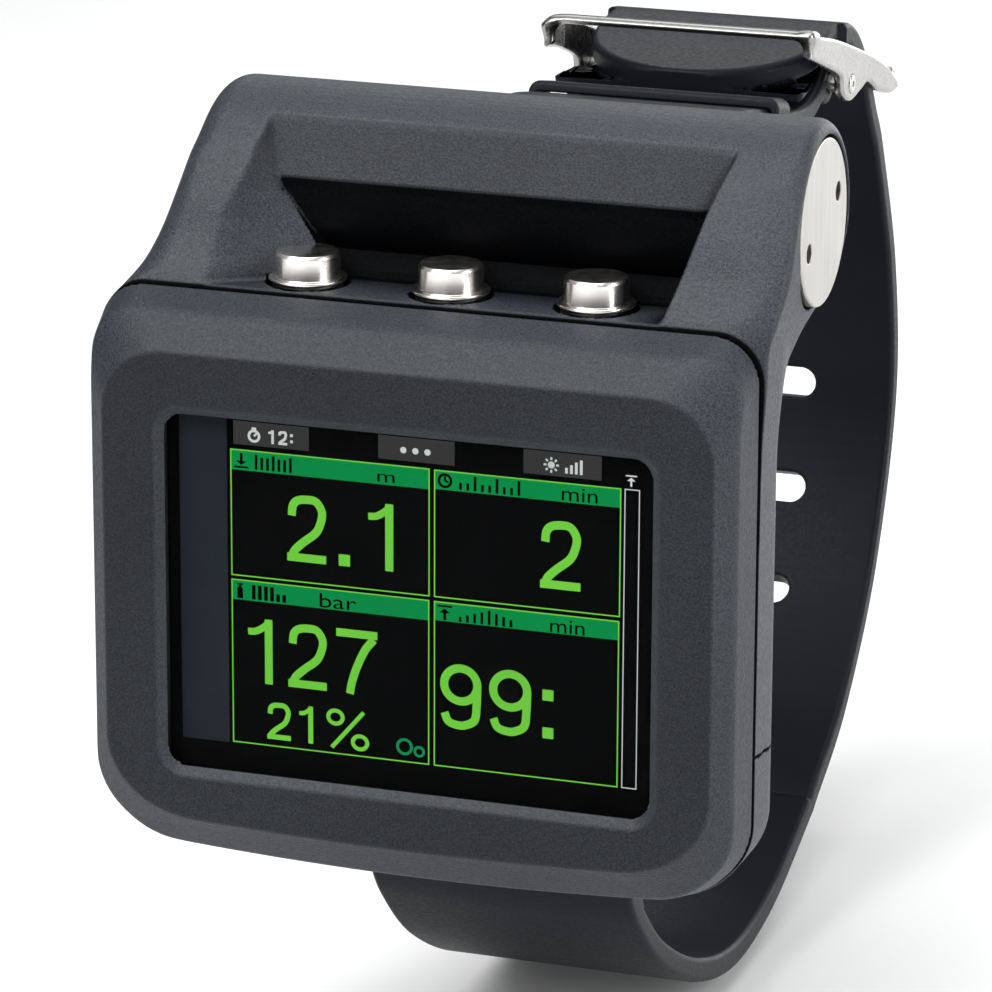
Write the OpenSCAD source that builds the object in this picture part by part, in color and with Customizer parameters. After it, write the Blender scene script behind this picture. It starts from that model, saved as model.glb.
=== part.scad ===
// Wrist dive computer with battery barrel, three push buttons and a buckled rubber strap.
// Frame: display faces -Y, +Z up, +X to the reader's right, origin on the flat wrist face.

/* [Body] */
// overall width of the body at the seam
body_w = 65.6; // [64:0.2:68]
// overall height of the body at the seam
body_h = 57; // [56:0.2:60]
// depth of the rear housing behind the seam
rear_d = 9.6; // [9:0.1:11]
// depth of the front bezel in front of the seam
bezel_d = 6.4; // [6:0.1:7.4]
// corner radius of the body outline
corner_r = 8; // [6:0.5:10]

/* [Window] */
// width of the visible window
window_w = 48; // [46:0.2:49]
// height of the visible window
window_h = 35.6; // [34:0.2:36]
// thickness of the window lens
lens_t = 1.8; // [1.4:0.1:2]

/* [Battery barrel] */
// outer radius of the battery barrel
barrel_r = 9.8; // [9.6:0.1:10.6]
// radius of the battery cell
cell_r = 7; // [6:0.1:7.2]
// length of the battery cell
cell_l = 49; // [46:0.5:50]
// radius of the round battery cap
cap_r = 8.06; // [7.9:0.01:8.3]

/* [Buttons] */
// spacing of the three buttons
button_pitch = 14.4; // [13.6:0.1:14.6]
// radius of a button cap
button_r = 2.85; // [2.5:0.05:3]
// height of a button cap above its flange
button_h = 2.4; // [2:0.1:3]

/* [Strap] */
// width of the long strap
strap_w = 27.6; // [26:0.1:28]
// width of the short strap
short_w = 25.4; // [24:0.1:25.4]
// thickness of the strap
strap_t = 2.6; // [2.2:0.1:2.6]
// radius of the strap pins
pin_r = 1.0; // [0.8:0.05:1]

/* [Hidden] */
$fn = 48;

// body planes and the electronics cavity
face_y = -(rear_d + bezel_d);
seam_y = -rear_d;
half_w = body_w / 2;
half_h = body_h / 2;
cavity_w = body_w - 6.4;
cavity_h = body_h - 8;
cavity_r = corner_r - 3;

// window lens, centred at window_z
window_z = -0.6;
lens_w = window_w + 2.6;
lens_h = window_h + 2.6;
lens_front = face_y + 1;
lens_back = lens_front + lens_t;

// main board, its components standing on its +Y face
board_z = -2.8;
board_t = 1.1;
board_y = lens_back + 4.2;
board_back = board_y + board_t;

// back cover and pressure sensor
cover_z = -1;
sensor_z = -9;

// battery barrel: axis as [y, z], ends along X
barrel_axis = [5.9, 35.9];
barrel_left = -26.2;
barrel_right = 34.3;
pocket_r = 8.2; // barrel radius left where the button pocket cuts it
bore_left = -23.6;
cell_left = -20.8;

// buttons, pressed along -Z
deck_z = 28.7;
button_x = 0.95;
button_y = -5;
flange_z = deck_z + 0.25;
seat_z = flange_z - 1.5;
bushing_z = 23.5;
switch_z = 19;

// strap: centre plane, and pin axes as [y, z]
strap_x = 1.2;
upper_pin = [20.5, 33.5];
lower_pin = [8, -30.5];
buckle_axis = [80.5, 32.5];
upper_pin_half = 16.2;
lower_pin_half = 17.2;
ear_gap = 0.35;

// ---- shapes --------------------------------------------------------------
// cylinder along Y between y0 and y1
module y_cylinder(r, y0, y1, x = 0, z = 0) {
  translate([x, y0, z]) rotate([-90, 0, 0]) cylinder(r = r, h = y1 - y0);
}
// cylinder along X between x0 and x1, its axis at [y, z]
module x_cylinder(r, x0, x1, axis = barrel_axis) {
  translate([x0, axis[0], axis[1]]) rotate([0, 90, 0]) cylinder(r = r, h = x1 - x0);
}
// cylinder along X, centred on X = 0
module x_bar(r, half_l, axis) {
  x_cylinder(r, -half_l, half_l, axis);
}
// plate between y0 and y1 with rounded corners seen from the front
module plate(w, h, r, y0, y1, z = 0) {
  translate([0, y0, z]) {
    translate([-w / 2 + r, 0, -h / 2]) cube([w - 2 * r, y1 - y0, h]);
    translate([-w / 2, 0, -h / 2 + r]) cube([w, y1 - y0, h - 2 * r]);
    at_corners(w / 2 - r, h / 2 - r) y_cylinder(r, 0, y1 - y0);
  }
}
// [y, z] outline drawn along X, centred on X = 0
module side(half_l, points) {
  translate([-half_l, 0, 0]) rotate([90, 0, 90])
    linear_extrude(height = 2 * half_l) polygon(points);
}
// [x, z] outline drawn along Y between y0 and y1
module front(y0, y1, points) {
  translate([0, y1, 0]) rotate([90, 0, 0]) linear_extrude(height = y1 - y0) polygon(points);
}
// flat ring standing on Z = 0
module ring(outer_r, inner_r, h) {
  difference() {
    cylinder(r = outer_r, h = h);
    translate([0, 0, -1]) cylinder(r = inner_r, h = h + 2);
  }
}
// round-section ring about Z
module torus(ring_r, wire_r, wire_fn) {
  rotate_extrude() translate([ring_r, 0]) circle(r = wire_r, $fn = wire_fn);
}

// ---- placement -----------------------------------------------------------
module at_corners(x, z) {
  for (a = [-1, 1]) for (b = [-1, 1]) translate([a * x, 0, b * z]) children();
}
module at_cover_screws() {
  translate([0, 0, cover_z]) at_corners(23.6, 19.6) children();
}
// local Z runs along the barrel axis
module on_barrel(x) {
  translate([x, barrel_axis[0], barrel_axis[1]]) rotate([0, 90, 0]) children();
}
// button i is -1 left, 0 centre, 1 right
module at_button(i, z = 0) {
  translate([button_x + i * button_pitch, button_y, z]) children();
}
module at_buttons(z = 0) {
  for (i = [-1, 0, 1]) at_button(i, z) children();
}
module on_strap() {
  translate([strap_x, 0, 0]) children();
}
// a pair of ears, one each side of a strap
module at_ears(width, ear_half) {
  on_strap() for (s = [-1, 1])
    translate([s * (width / 2 + ear_gap + ear_half), 0, 0]) children();
}

// ---- curves --------------------------------------------------------------
// Catmull-Rom point between b and c
function spline(a, b, c, d, t) =
  0.5 * (2 * b + (c - a) * t + (2 * a - 5 * b + 4 * c - d) * t * t
    + (3 * b - a - 3 * c + d) * t * t * t);
// adds a mirrored point beyond each end
function extend(p) =
  let (last = len(p) - 1)
  concat([2 * p[0] - p[1]], p, [2 * p[last] - p[last - 1]]);
// smooth curve through the points, with this many steps per span
function curve(p, steps) =
  let (q = extend(p))
  concat(
    [for (i = [1 : len(q) - 3]) for (k = [0 : steps - 1])
      spline(q[i - 1], q[i], q[i + 1], q[i + 2], k / steps)],
    [p[len(p) - 1]]);
function unit(v) = v / norm(v);
function turn_left(v) = [-v[1], v[0]];
function normal(path, i) =
  turn_left(unit(path[min(i + 1, len(path) - 1)] - path[max(i - 1, 0)]));
// band between a curve and its offset, to the left of travel for positive t
function band(path, t) =
  concat(path, [for (i = [len(path) - 1 : -1 : 0]) path[i] + t * normal(path, i)]);
// segment index, and fraction along it, at a distance along a path
function segment_length(path, i) = norm(path[i + 1] - path[i]);
function locate(path, distance, i = 0) =
  let (length = segment_length(path, i))
  (i >= len(path) - 2 || distance <= length)
    ? [i, distance / length]
    : locate(path, distance - length, i + 1);

// ---- bezel and housing ---------------------------------------------------
module front_bezel() {
  color([0.17, 0.18, 0.2]) difference() {
    hull() {
      plate(body_w, body_h, corner_r, seam_y - 0.4, seam_y - 0.02, $fn = 32);
      plate(body_w - 1.3, body_h - 2.6, corner_r, face_y + 1.8, face_y + 2.8, -0.3, $fn = 32);
      plate(body_w - 5.4, 47.1, 7, face_y, face_y + 0.3, 0.15, $fn = 32);
    }
    // window opening and its bevel
    plate(window_w, window_h, 1.8, face_y - 1, lens_front + 1, window_z);
    hull() {
      plate(window_w, window_h, 1.8, lens_front - 0.05, lens_front, window_z, $fn = 24);
      plate(window_w + 3, window_h + 3, 3, face_y - 0.1, face_y - 0.05, window_z, $fn = 24);
    }
    // lens seat, then the wider cavity behind it
    plate(lens_w + 1, lens_h + 1, 2.4, lens_front, seam_y + 1, window_z);
    plate(cavity_w, cavity_h, cavity_r, lens_back + 1.2, seam_y + 1);
    at_corners(27.6, 21.6) y_cylinder(0.9, seam_y - 2.4, seam_y + 1.6);
  }
}

// [y, z] outline joining the body to the barrel, from the seam up and over
neck_side = concat(
  [[seam_y + 0.02, 20], [seam_y + 0.02, half_h - 0.2], [-8.7, 30.0], [-7.7, 31.3],
   [-6.7, 32.8], [-5.8, 34.3], [-5.2, 36.2], [-4.2, 38.6], [-2.6, 41.3]],
  [barrel_axis + [-7, 6.5], barrel_axis, barrel_axis + [0, -barrel_r + 0.2]],
  [[0, 23.2], [-5, 20]]);
// [x, z] limits of the neck and barrel seen from the front
neck_front = [
  [-half_w, 0], [half_w, 0], [half_w, 28], [barrel_right, 33], [barrel_right, 60],
  [barrel_left, 60], [barrel_left, 42], [barrel_left - 0.7, 38.4],
  [barrel_left - 1.65, 35.7], [barrel_left - 3, 31.6], [barrel_left - 4.5, 28],
  [-half_w, 24.6]];
// [y, z] outline of the pocket over the button deck, following the barrel
pocket_side = concat(
  [[-30, deck_z], [-1.1, deck_z], [-0.4, deck_z + 1.4]],
  [for (a = [218 : -6 : 170]) barrel_axis + pocket_r * [cos(a), sin(a)]],
  [[-2.9, 38.4], [0, 43.7], [-0.4, 60], [-30, 60]]);
// [x, z] outline of the same pocket
pocket_front = [
  [-22.9, deck_z - 1], [23.3, deck_z - 1], [27.9, 45], [34, 60], [-17, 60], [-20.1, 45]];

module body_shell() {
  plate(body_w, body_h, corner_r, seam_y + 0.02, -4.8);
  hull() {
    plate(body_w, body_h, corner_r, -5, -4.8, $fn = 32);
    plate(body_w - 9, body_h - 9, corner_r - 2, -0.2, 0, $fn = 32);
  }
}
module barrel_shell() {
  chamfer = 0.8;
  intersection() {
    union() {
      side(half_w, neck_side);
      x_cylinder(barrel_r, barrel_left, barrel_right - chamfer);
      on_barrel(barrel_right - chamfer)
        cylinder(r1 = barrel_r, r2 = barrel_r - chamfer, h = chamfer);
    }
    front(-20, 40, neck_front);
  }
}
module upper_ears() {
  ear_half = 1.7;
  at_ears(short_w, ear_half) {
    x_bar(3.1, ear_half, upper_pin);
    side(ear_half, [barrel_axis + [6, 5], upper_pin + [-0.2, 3.09], upper_pin + [0, -3.1],
      barrel_axis + [4, -9]]);
  }
}
module lower_ears() {
  ear_half = 1.8;
  at_ears(strap_w, ear_half) {
    x_bar(3.3, ear_half, lower_pin);
    side(ear_half, [lower_pin + [0.6, 3.24], lower_pin + [-0.8, -3.2],
      [-6, -half_h + 0.3], [-4, -22], [-0.02, -24.4]]);
  }
}
module rear_housing() {
  color([0.2, 0.21, 0.23]) difference() {
    union() {
      difference() {
        union() {
          body_shell();
          barrel_shell();
          upper_ears();
          lower_ears();
        }
        // electronics cavity
        plate(cavity_w, cavity_h, cavity_r, seam_y - 1, -3.2);
      }
      // screw bosses
      at_cover_screws() y_cylinder(2.4, -5.4, -2.4);
    }
    // opening of the back cover and its ledge
    plate(50, 42, 8, -3.3, 1, cover_z);
    plate(54.1, 46.1, 5, -1.8, 1, cover_z);
    // pocket over the button deck
    intersection() {
      side(40, pocket_side);
      front(-30, 40, pocket_front);
    }
    // battery bore and cap seat
    x_cylinder(cell_r + 0.3, bore_left, barrel_right + 1);
    x_cylinder(cap_r + 0.06, barrel_right - 3.2, barrel_right + 1);
    // button seats through the deck
    at_buttons() {
      translate([0, 0, seat_z]) cylinder(r = 3.95, h = 4);
      translate([0, 0, 20]) cylinder(r = 2.8, h = 12);
    }
    // clearance for the buttons' clips
    translate([-20, -9, 20]) cube([41.5, 7, 3.9]);
    // strap pin holes
    on_strap() {
      x_bar(pin_r, upper_pin_half + 0.2, upper_pin);
      x_bar(pin_r, lower_pin_half + 0.2, lower_pin);
    }
    // screw holes for the back cover
    at_cover_screws() y_cylinder(1.1, -5, 1);
  }
}

module back_cover() {
  color([0.16, 0.17, 0.18]) difference() {
    union() {
      plate(53.9, 45.9, 5, -1.75, 0, cover_z);
      plate(49.8, 41.8, 7.9, -3, -1.7, cover_z);
    }
    // counterbored screw holes
    at_cover_screws() {
      y_cylinder(1.15, -4, 2);
      y_cylinder(2.1, -1.1, 2.9);
    }
    // pressure sensor well and the recess of its cover
    y_cylinder(4.5, -4, -1, z = sensor_z);
    y_cylinder(6, -1.2, 1.8, z = sensor_z);
  }
}

// ---- window and display --------------------------------------------------
module window_lens() {
  color([0.1, 0.11, 0.12, 0.5])
    plate(lens_w, lens_h, 2, lens_front + 0.02, lens_back, window_z);
}
module lens_gasket() {
  color([0.05, 0.05, 0.05]) difference() {
    plate(lens_w + 0.9, lens_h + 0.9, 2.35, lens_front + 0.1, lens_back, window_z);
    plate(lens_w + 0.02, lens_h + 0.02, 2.01, lens_front, lens_back + 1, window_z);
  }
}

// [width, height] of the display's glass and of the step behind it
glass = [49.6, 37.2];
step = [47.4, 34.6];
display_gap = 0.2; // total clearance in the holder
module display_module() {
  color([0.04, 0.05, 0.05]) union() {
    plate(glass[0], glass[1], 0.8, lens_back + 0.05, lens_back + 1.9, window_z);
    plate(step[0], step[1], 0.6, lens_back + 1.85, lens_back + 2.5, window_z);
  }
}
module display_holder() {
  color([0.3, 0.31, 0.33]) difference() {
    plate(55.6, 44.6, 3, lens_back + 1.3, lens_back + 3.3, -0.4);
    plate(glass[0] + display_gap, glass[1] + display_gap, 0.9,
      lens_back, lens_back + 1.92, window_z);
    plate(step[0] + display_gap, step[1] + display_gap, 0.7,
      lens_back, lens_back + 2.6, window_z);
    plate(30, 20, 2, lens_back, lens_back + 5, window_z);
  }
}

// ---- electronics ---------------------------------------------------------
module main_board() {
  color([0.05, 0.3, 0.16]) difference() {
    plate(55, 39.6, 2, board_y, board_back, board_z);
    translate([0, 0, board_z]) at_corners(25.2, 17.4) y_cylinder(0.9, board_y - 1, board_y + 3);
  }
}

// block components: x, z, width, depth, height
blocks = [
  [-20, 2, 9, 1.1, 9], [-6, 4, 6, 0.9, 7], [4, 5, 5, 1, 5],
  [-20, -16, 6, 1.3, 8], [-10, 13, 22, 1.6, 3], [12, -21, 8, 1.4, 5]];
module board_components() {
  color([0.08, 0.08, 0.09]) {
    for (b = blocks) translate([b[0], board_back, b[1]]) cube([b[2], b[3], b[4]]);
    // a row and a column of small parts
    for (i = [0 : 4]) translate([-8 + 3 * i, board_back, -1]) cube([1.6, 0.6, 0.9]);
    for (i = [0 : 3]) translate([-23, board_back, -5 + 2.5 * i]) cube([1.2, 0.7, 1.8]);
  }
}
module switch_board() {
  thickness = 0.6;
  color([0.75, 0.5, 0.15])
    translate([button_x - 18.6, -8.8, switch_z - thickness]) cube([37.2, 5.4, thickness]);
}
module tactile_switches() {
  offset_y = -0.6; // switch body off the button axis
  color([0.15, 0.15, 0.16]) at_buttons(switch_z) {
    translate([-2.2, -2.2 + offset_y, 0]) cube([4.4, 4.4, 1.5]);
    translate([0, 0, 1.4]) cylinder(r = 0.9, h = 0.7);
  }
}

// ---- battery -------------------------------------------------------------
module battery_cell() {
  cell_right = cell_left + cell_l;
  nub_l = 0.9;
  color([0.2, 0.42, 0.3]) {
    x_cylinder(cell_r, cell_left, cell_right - nub_l);
    x_cylinder(2.6, cell_right - nub_l, cell_right);
  }
}
// three shrinking coils joined by links, on a round plate at the bore's end
module battery_spring() {
  first_x = -23.2;
  coil_pitch = 0.95;
  shrink = 0.9;
  color([0.75, 0.72, 0.6]) {
    for (i = [0 : 2]) on_barrel(first_x + coil_pitch * i) torus(5.4 - shrink * i, 0.32, 16);
    for (i = [0 : 1])
      translate([first_x + coil_pitch * i - 0.1, barrel_axis[0] + 4.55 - shrink * i,
        barrel_axis[1] - 0.3]) cube([1.15, 0.9, 0.6]);
    x_cylinder(6, bore_left + 0.02, -23.4);
  }
}
module battery_cap() {
  hole_reach = 5.25;
  hole_angle = 21.4;
  color([0.72, 0.71, 0.68]) difference() {
    union() {
      x_cylinder(cap_r, barrel_right - 3.1, barrel_right - 0.1);
      x_cylinder(cell_r + 0.2, barrel_right - 5.9, barrel_right - 3.0);
    }
    // two blind holes in the outer face
    for (s = [-1, 1])
      x_cylinder(0.9, barrel_right - 1.9, barrel_right + 1,
        barrel_axis + s * hole_reach * [cos(hole_angle), sin(hole_angle)]);
    // O-ring groove
    on_barrel(barrel_right - 4.5) ring(cell_r + 1, cell_r - 0.75, 1.1);
  }
}
module battery_cap_oring() {
  color([0.03, 0.03, 0.03]) on_barrel(barrel_right - 3.95) torus(cell_r - 0.22, 0.48, 24);
}

// ---- buttons -------------------------------------------------------------
module button(i) {
  bevel = 0.35;
  stem_z = 22.3;
  color([0.8, 0.8, 0.8]) at_button(i) difference() {
    union() {
      // flange, cap, bevelled top and stem
      translate([0, 0, flange_z]) cylinder(r = 3.76, h = 0.45);
      translate([0, 0, flange_z + 0.4]) cylinder(r = button_r, h = button_h - 0.35);
      translate([0, 0, flange_z + button_h + 0.04])
        cylinder(r1 = button_r, r2 = button_r - bevel, h = bevel);
      translate([0, 0, stem_z]) cylinder(r = 1.5, h = flange_z - stem_z + 0.1);
    }
    // clip groove
    translate([0, 0, 22.9]) ring(2, 1.15, 0.56);
  }
}
module clip(i) {
  color([0.7, 0.7, 0.7]) at_button(i, 22.93) difference() {
    ring(2.4, 1.16, 0.5);
    translate([-0.8, 0, -1]) cube([1.6, 4, 3]);
  }
}
// three flat rings joined by links at alternating heights
module spring(i) {
  color([0.75, 0.75, 0.76]) at_button(i, seat_z) {
    for (z = [0, 0.6, 1.2]) translate([0, 0, z]) ring(3.4, 2.6, 0.26);
    for (k = [0 : 5])
      rotate([0, 0, 60 * k])
        translate([2.7, -0.3, k % 2 == 0 ? 0.2 : 0.8]) cube([0.55, 0.6, 0.45]);
  }
}
module button_bushings() {
  color([0.68, 0.55, 0.28]) at_buttons(bushing_z) difference() {
    cylinder(r = 2.8, h = seat_z - bushing_z - 0.02);
    translate([0, 0, -1]) cylinder(r = 1.55, h = 10);
    // O-ring groove
    translate([0, 0, 1.3]) cylinder(r = 2.25, h = 0.9);
  }
}
module button_orings() {
  color([0.03, 0.03, 0.03]) at_buttons(bushing_z + 1.75) torus(1.87, 0.34, 20);
}

// ---- sensors, sealing and fasteners --------------------------------------
module pressure_sensor() {
  color([0.7, 0.7, 0.68]) {
    y_cylinder(4.45, -4.4, -2.1, z = sensor_z);
    y_cylinder(3.2, -2.2, -1.6, z = sensor_z);
  }
}
// disc with a centre hole and six around it
module sensor_cover() {
  hole_r = 0.7;
  color([0.1, 0.1, 0.11]) translate([0, -1.18, sensor_z]) rotate([-90, 0, 0]) difference() {
    cylinder(r = 5.95, h = 1.1);
    for (k = [0 : 5])
      rotate([0, 0, 60 * k]) translate([3.4, 0, -1]) cylinder(r = hole_r, h = 4, $fn = 24);
    translate([0, 0, -1]) cylinder(r = hole_r, h = 4, $fn = 24);
  }
}
module case_gasket() {
  color([0.04, 0.04, 0.04]) difference() {
    plate(cavity_w - 0.2, cavity_h - 0.2, cavity_r - 0.1, seam_y - 0.9, seam_y + 0.9);
    plate(cavity_w - 2, cavity_h - 2, cavity_r - 1, seam_y - 2, seam_y + 2);
  }
}
// back cover screws with hexagonal sockets
module case_screws() {
  color([0.7, 0.7, 0.7]) at_cover_screws() difference() {
    union() {
      y_cylinder(1.05, -4.8, -1);
      y_cylinder(2.0, -1.08, -0.13);
    }
    y_cylinder(0.95, -0.7, 1.3, $fn = 6);
  }
}
module buzzer() {
  color([0.72, 0.62, 0.3]) translate([13, board_back + 0.02, -6]) {
    y_cylinder(5, 0, 0.5);
    y_cylinder(3.4, 0, 1.2);
  }
}
// block with three notches along its top
module receiver_coil() {
  color([0.6, 0.35, 0.15]) translate([-9, board_back + 0.02, -20]) difference() {
    cube([16, 1.9, 3.4]);
    for (i = [0 : 2]) translate([3.5 + 3.5 * i, -1, 2.9]) cube([1, 4, 2]);
  }
}

// ---- strap ---------------------------------------------------------------
// Outer faces as [y, z] points. The long strap runs from the lower ears round to
// the tail, in two parts that share the span before their joint.
joint_span = [[76.1, -50.4], [79.1, -49.0]];
loop_front = concat(
  [[8, -34.1], [11.8, -39.4], [20.1, -46.6], [33, -53.3], [47, -56.8], [61.4, -55.4]],
  joint_span);
loop_rear = concat(joint_span,
  [[91.2, -42.2], [103.6, -28.9], [110.9, -10.5], [109.1, 5.8], [102.2, 20.8],
   [98.2, 26.6], [94.6, 31.8], [90.8, 35.6], [87, 37.7], [83.5, 38.3], [79.8, 38.0],
   [75.6, 37.2], [71, 36.5], [65.8, 35.9]]);
short_loop = [
  [20.5, 36.1], [27, 37.0], [36, 37.2], [48, 36.2], [58, 34.2], [66, 32.4],
  [73, 31.9], [78, 33.4], [80.5, 34.9]];

strap_steps = 5;
front_path = curve(loop_front, strap_steps);
rear_curve = curve(loop_rear, strap_steps);
// the shared span only sets the direction at the joint
rear_path = [for (i = [strap_steps : len(rear_curve) - 1]) rear_curve[i]];
short_path = curve(short_loop, strap_steps);
joint_dir = unit(rear_path[1] - rear_path[0]);
joint_axis = rear_path[0] + (strap_t / 2) * turn_left(joint_dir);

// adjustment slots, placed by distance along the rear part
slot_count = 8;
slot_pitch = 12.8;
last_slot = 104.2;
slot_r = 1.75;
slot_half = 2.4;

module upper_strap_pin() {
  color([0.75, 0.75, 0.75]) on_strap() x_bar(pin_r - 0.02, upper_pin_half, upper_pin);
}
module lower_strap_pin() {
  color([0.75, 0.75, 0.75]) on_strap() x_bar(pin_r - 0.02, lower_pin_half, lower_pin);
}

module short_strap() {
  color([0.12, 0.13, 0.15]) on_strap() difference() {
    union() {
      side(short_w / 2, band(short_path, -strap_t));
      x_bar(2.6, short_w / 2, upper_pin);
      x_bar(2.4, short_w / 2, buckle_axis);
    }
    x_bar(pin_r + 0.05, 20, upper_pin);
    x_bar(1.05, 20, buckle_axis);
    // room for the tongue's eye
    translate([-2.6, buckle_axis[0] - 3.4, buckle_axis[1] - 5]) cube([5.2, 10, 10]);
  }
}
module long_strap_front() {
  color([0.12, 0.13, 0.15]) on_strap() difference() {
    union() {
      difference() {
        side(strap_w / 2, band(front_path, strap_t));
        // cut square at the joint
        translate([-40, joint_axis[0], joint_axis[1]])
          rotate([atan2(joint_dir[1], joint_dir[0]), 0, 0])
            translate([0, 0, -10]) cube([80, 20, 20]);
      }
      x_bar(strap_t / 2, strap_w / 2, joint_axis);
      x_bar(2.9, strap_w / 2, lower_pin);
      // web from the pin eye to the band
      side(strap_w / 2, [lower_pin + [-2.5, -1.45], loop_front[0], loop_front[1],
        [14, -37.9], lower_pin + [2.7, -1.1]]);
    }
    x_bar(pin_r + 0.28, 20, lower_pin);
  }
}
// one round-ended slot, cut square to the strap
module slot_at(distance) {
  place = locate(rear_path, distance);
  i = place[0];
  point = rear_path[i] + place[1] * (rear_path[i + 1] - rear_path[i]);
  across = normal(rear_path, i);
  translate([0, point[0], point[1]]) rotate([atan2(across[1], across[0]), 0, 0])
    rotate([-90, 0, 0]) translate([0, 0, -1]) {
      translate([-slot_half, -slot_r, 0]) cube([2 * slot_half, 2 * slot_r, 6]);
      for (s = [-1, 1]) translate([s * slot_half, 0, 0]) cylinder(r = slot_r, h = 6, $fn = 32);
    }
}
module long_strap_rear() {
  color([0.12, 0.13, 0.15]) on_strap() difference() {
    intersection() {
      side(strap_w / 2, band(rear_path, strap_t));
      // full width beyond y = 78, rounded at the tail
      union() {
        translate([-30, 78, -60]) cube([60, 60, 120]);
        translate([0, 78.2, 0]) cylinder(r = 13.3, h = 60);
      }
    }
    x_bar(strap_t / 2 + 0.06, 30, joint_axis);
    for (k = [0 : slot_count - 1]) slot_at(last_slot - k * slot_pitch);
  }
}

// ---- buckle --------------------------------------------------------------
arm_x = 14.1; // inner face of each arm, from the strap's centre plane
arm_t = 1.1;
// [y, z] points: upper and lower edges of an arm, flat bar section, tongue's upper face
arm_top = [[64.6, 40.9], [74, 38.7], [83.4, 35.9], [91, 33.4], [96.3, 31.2], [100.2, 28.9]];
arm_bottom = [
  [100.4, 28.0], [97.4, 28.0], [92.2, 29.4], [88, 30.8], [84.4, 30.2], [80.5, 29.6],
  [77.2, 31.4], [76.4, 33.9], [71.5, 36.0], [64.4, 38.4]];
flat_bar = [
  [63.6, 40.1], [64.1, 41.0], [65.4, 41.2], [68.2, 40.6],
  [68.6, 40.1], [67.8, 39.5], [65.2, 39.2], [64.2, 39.3]];
tongue_top = [
  [80.5, 34.5], [83.5, 33.5], [86.6, 33.5], [89.6, 35.4],
  [92.4, 37.1], [95.8, 36.1], [98.8, 33.0], [101, 31.4]];

module buckle_frame() {
  color([0.75, 0.74, 0.72]) on_strap() difference() {
    union() {
      for (s = [-1, 1]) translate([s * (arm_x + arm_t / 2), 0, 0])
        side(arm_t / 2, concat(curve(arm_top, 4), curve(arm_bottom, 4)));
      // flat bar at the end nearer the body, round bar at the far end
      side(arm_x + arm_t, flat_bar);
      x_bar(1.1, arm_x + 0.5, [99.9, 29.3]);
    }
    x_bar(1.0, 20, buckle_axis);
  }
}
module buckle_pin() {
  color([0.8, 0.8, 0.8]) on_strap() x_bar(0.99, arm_x + 1.3, buckle_axis);
}
module buckle_tongue() {
  color([0.78, 0.77, 0.75]) on_strap() difference() {
    union() {
      x_bar(2.1, 2.1, buckle_axis);
      side(1.5, band(curve(tongue_top, 4), -1.0));
    }
    x_bar(1.05, 5, buckle_axis);
  }
}
// rectangular loop round the strap
module keeper() {
  color([0.1, 0.11, 0.12]) translate([strap_x, 59.4, 32.6]) rotate([-12, 0, 0]) difference() {
    translate([-13.7, -2.5, -2.7]) cube([27.4, 5.0, 5.2]);
    translate([-12.9, -4, -1.65]) cube([25.8, 9, 3.25]);
  }
}

front_bezel();
rear_housing();
back_cover();
window_lens();
lens_gasket();
display_module();
display_holder();
main_board();
board_components();
switch_board();
tactile_switches();
battery_cell();
battery_cap();
battery_cap_oring();
battery_spring();
button(-1);  // button_left
button(0);  // button_center
button(1);  // button_right
clip(-1);  // clip_left
clip(0);  // clip_center
clip(1);  // clip_right
spring(-1);  // spring_left
spring(0);  // spring_center
spring(1);  // spring_right
button_bushings();
button_orings();
pressure_sensor();
sensor_cover();
case_gasket();
case_screws();
buzzer();
receiver_coil();
upper_strap_pin();
lower_strap_pin();
short_strap();
long_strap_front();
long_strap_rear();
buckle_frame();
buckle_pin();
buckle_tongue();
keeper();
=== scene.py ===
"""A wrist instrument: a cased screen with three push buttons on top and a buckled rubber strap.

The screen faces -Y, X runs to its right and Z runs up. The strap loops out behind the case,
towards +Y. Shapes are worked out in millimetres and stored in metres; materials, lights and
the floor are in metres throughout.
"""
import math

import bpy
import numpy as np
from mathutils import Matrix, Vector


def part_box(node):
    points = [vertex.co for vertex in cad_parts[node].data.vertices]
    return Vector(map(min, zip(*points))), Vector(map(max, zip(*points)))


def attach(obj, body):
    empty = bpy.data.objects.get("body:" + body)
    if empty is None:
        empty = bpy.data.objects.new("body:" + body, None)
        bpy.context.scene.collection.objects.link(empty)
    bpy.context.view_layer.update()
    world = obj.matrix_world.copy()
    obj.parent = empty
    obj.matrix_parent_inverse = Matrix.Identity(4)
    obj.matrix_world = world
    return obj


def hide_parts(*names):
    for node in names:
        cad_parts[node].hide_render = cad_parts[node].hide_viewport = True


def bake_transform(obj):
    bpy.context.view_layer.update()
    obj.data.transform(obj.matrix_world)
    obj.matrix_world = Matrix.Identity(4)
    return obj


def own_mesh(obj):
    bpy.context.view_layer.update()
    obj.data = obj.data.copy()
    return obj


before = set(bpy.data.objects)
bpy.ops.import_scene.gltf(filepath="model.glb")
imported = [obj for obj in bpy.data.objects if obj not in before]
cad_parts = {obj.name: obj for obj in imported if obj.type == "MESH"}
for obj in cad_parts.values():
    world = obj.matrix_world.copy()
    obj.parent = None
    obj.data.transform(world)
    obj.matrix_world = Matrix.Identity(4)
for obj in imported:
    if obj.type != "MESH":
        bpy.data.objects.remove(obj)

bpy.context.scene.view_settings.view_transform = "Standard"
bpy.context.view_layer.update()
MM = 0.001                                  # metres in a millimetre
CELL_SCALE = 1.0


# ==== Distance fields, in mm, negative inside ================================================

def soft_min(one, other, blend):
    """Union with a smooth blend."""
    share = np.maximum(blend - np.abs(one - other), 0.0) / blend
    return np.minimum(one, other) - share * share * blend * 0.25


def soft_max(one, other, blend):
    """Intersection with a smooth blend."""
    return -soft_min(-one, -other, blend)


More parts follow.
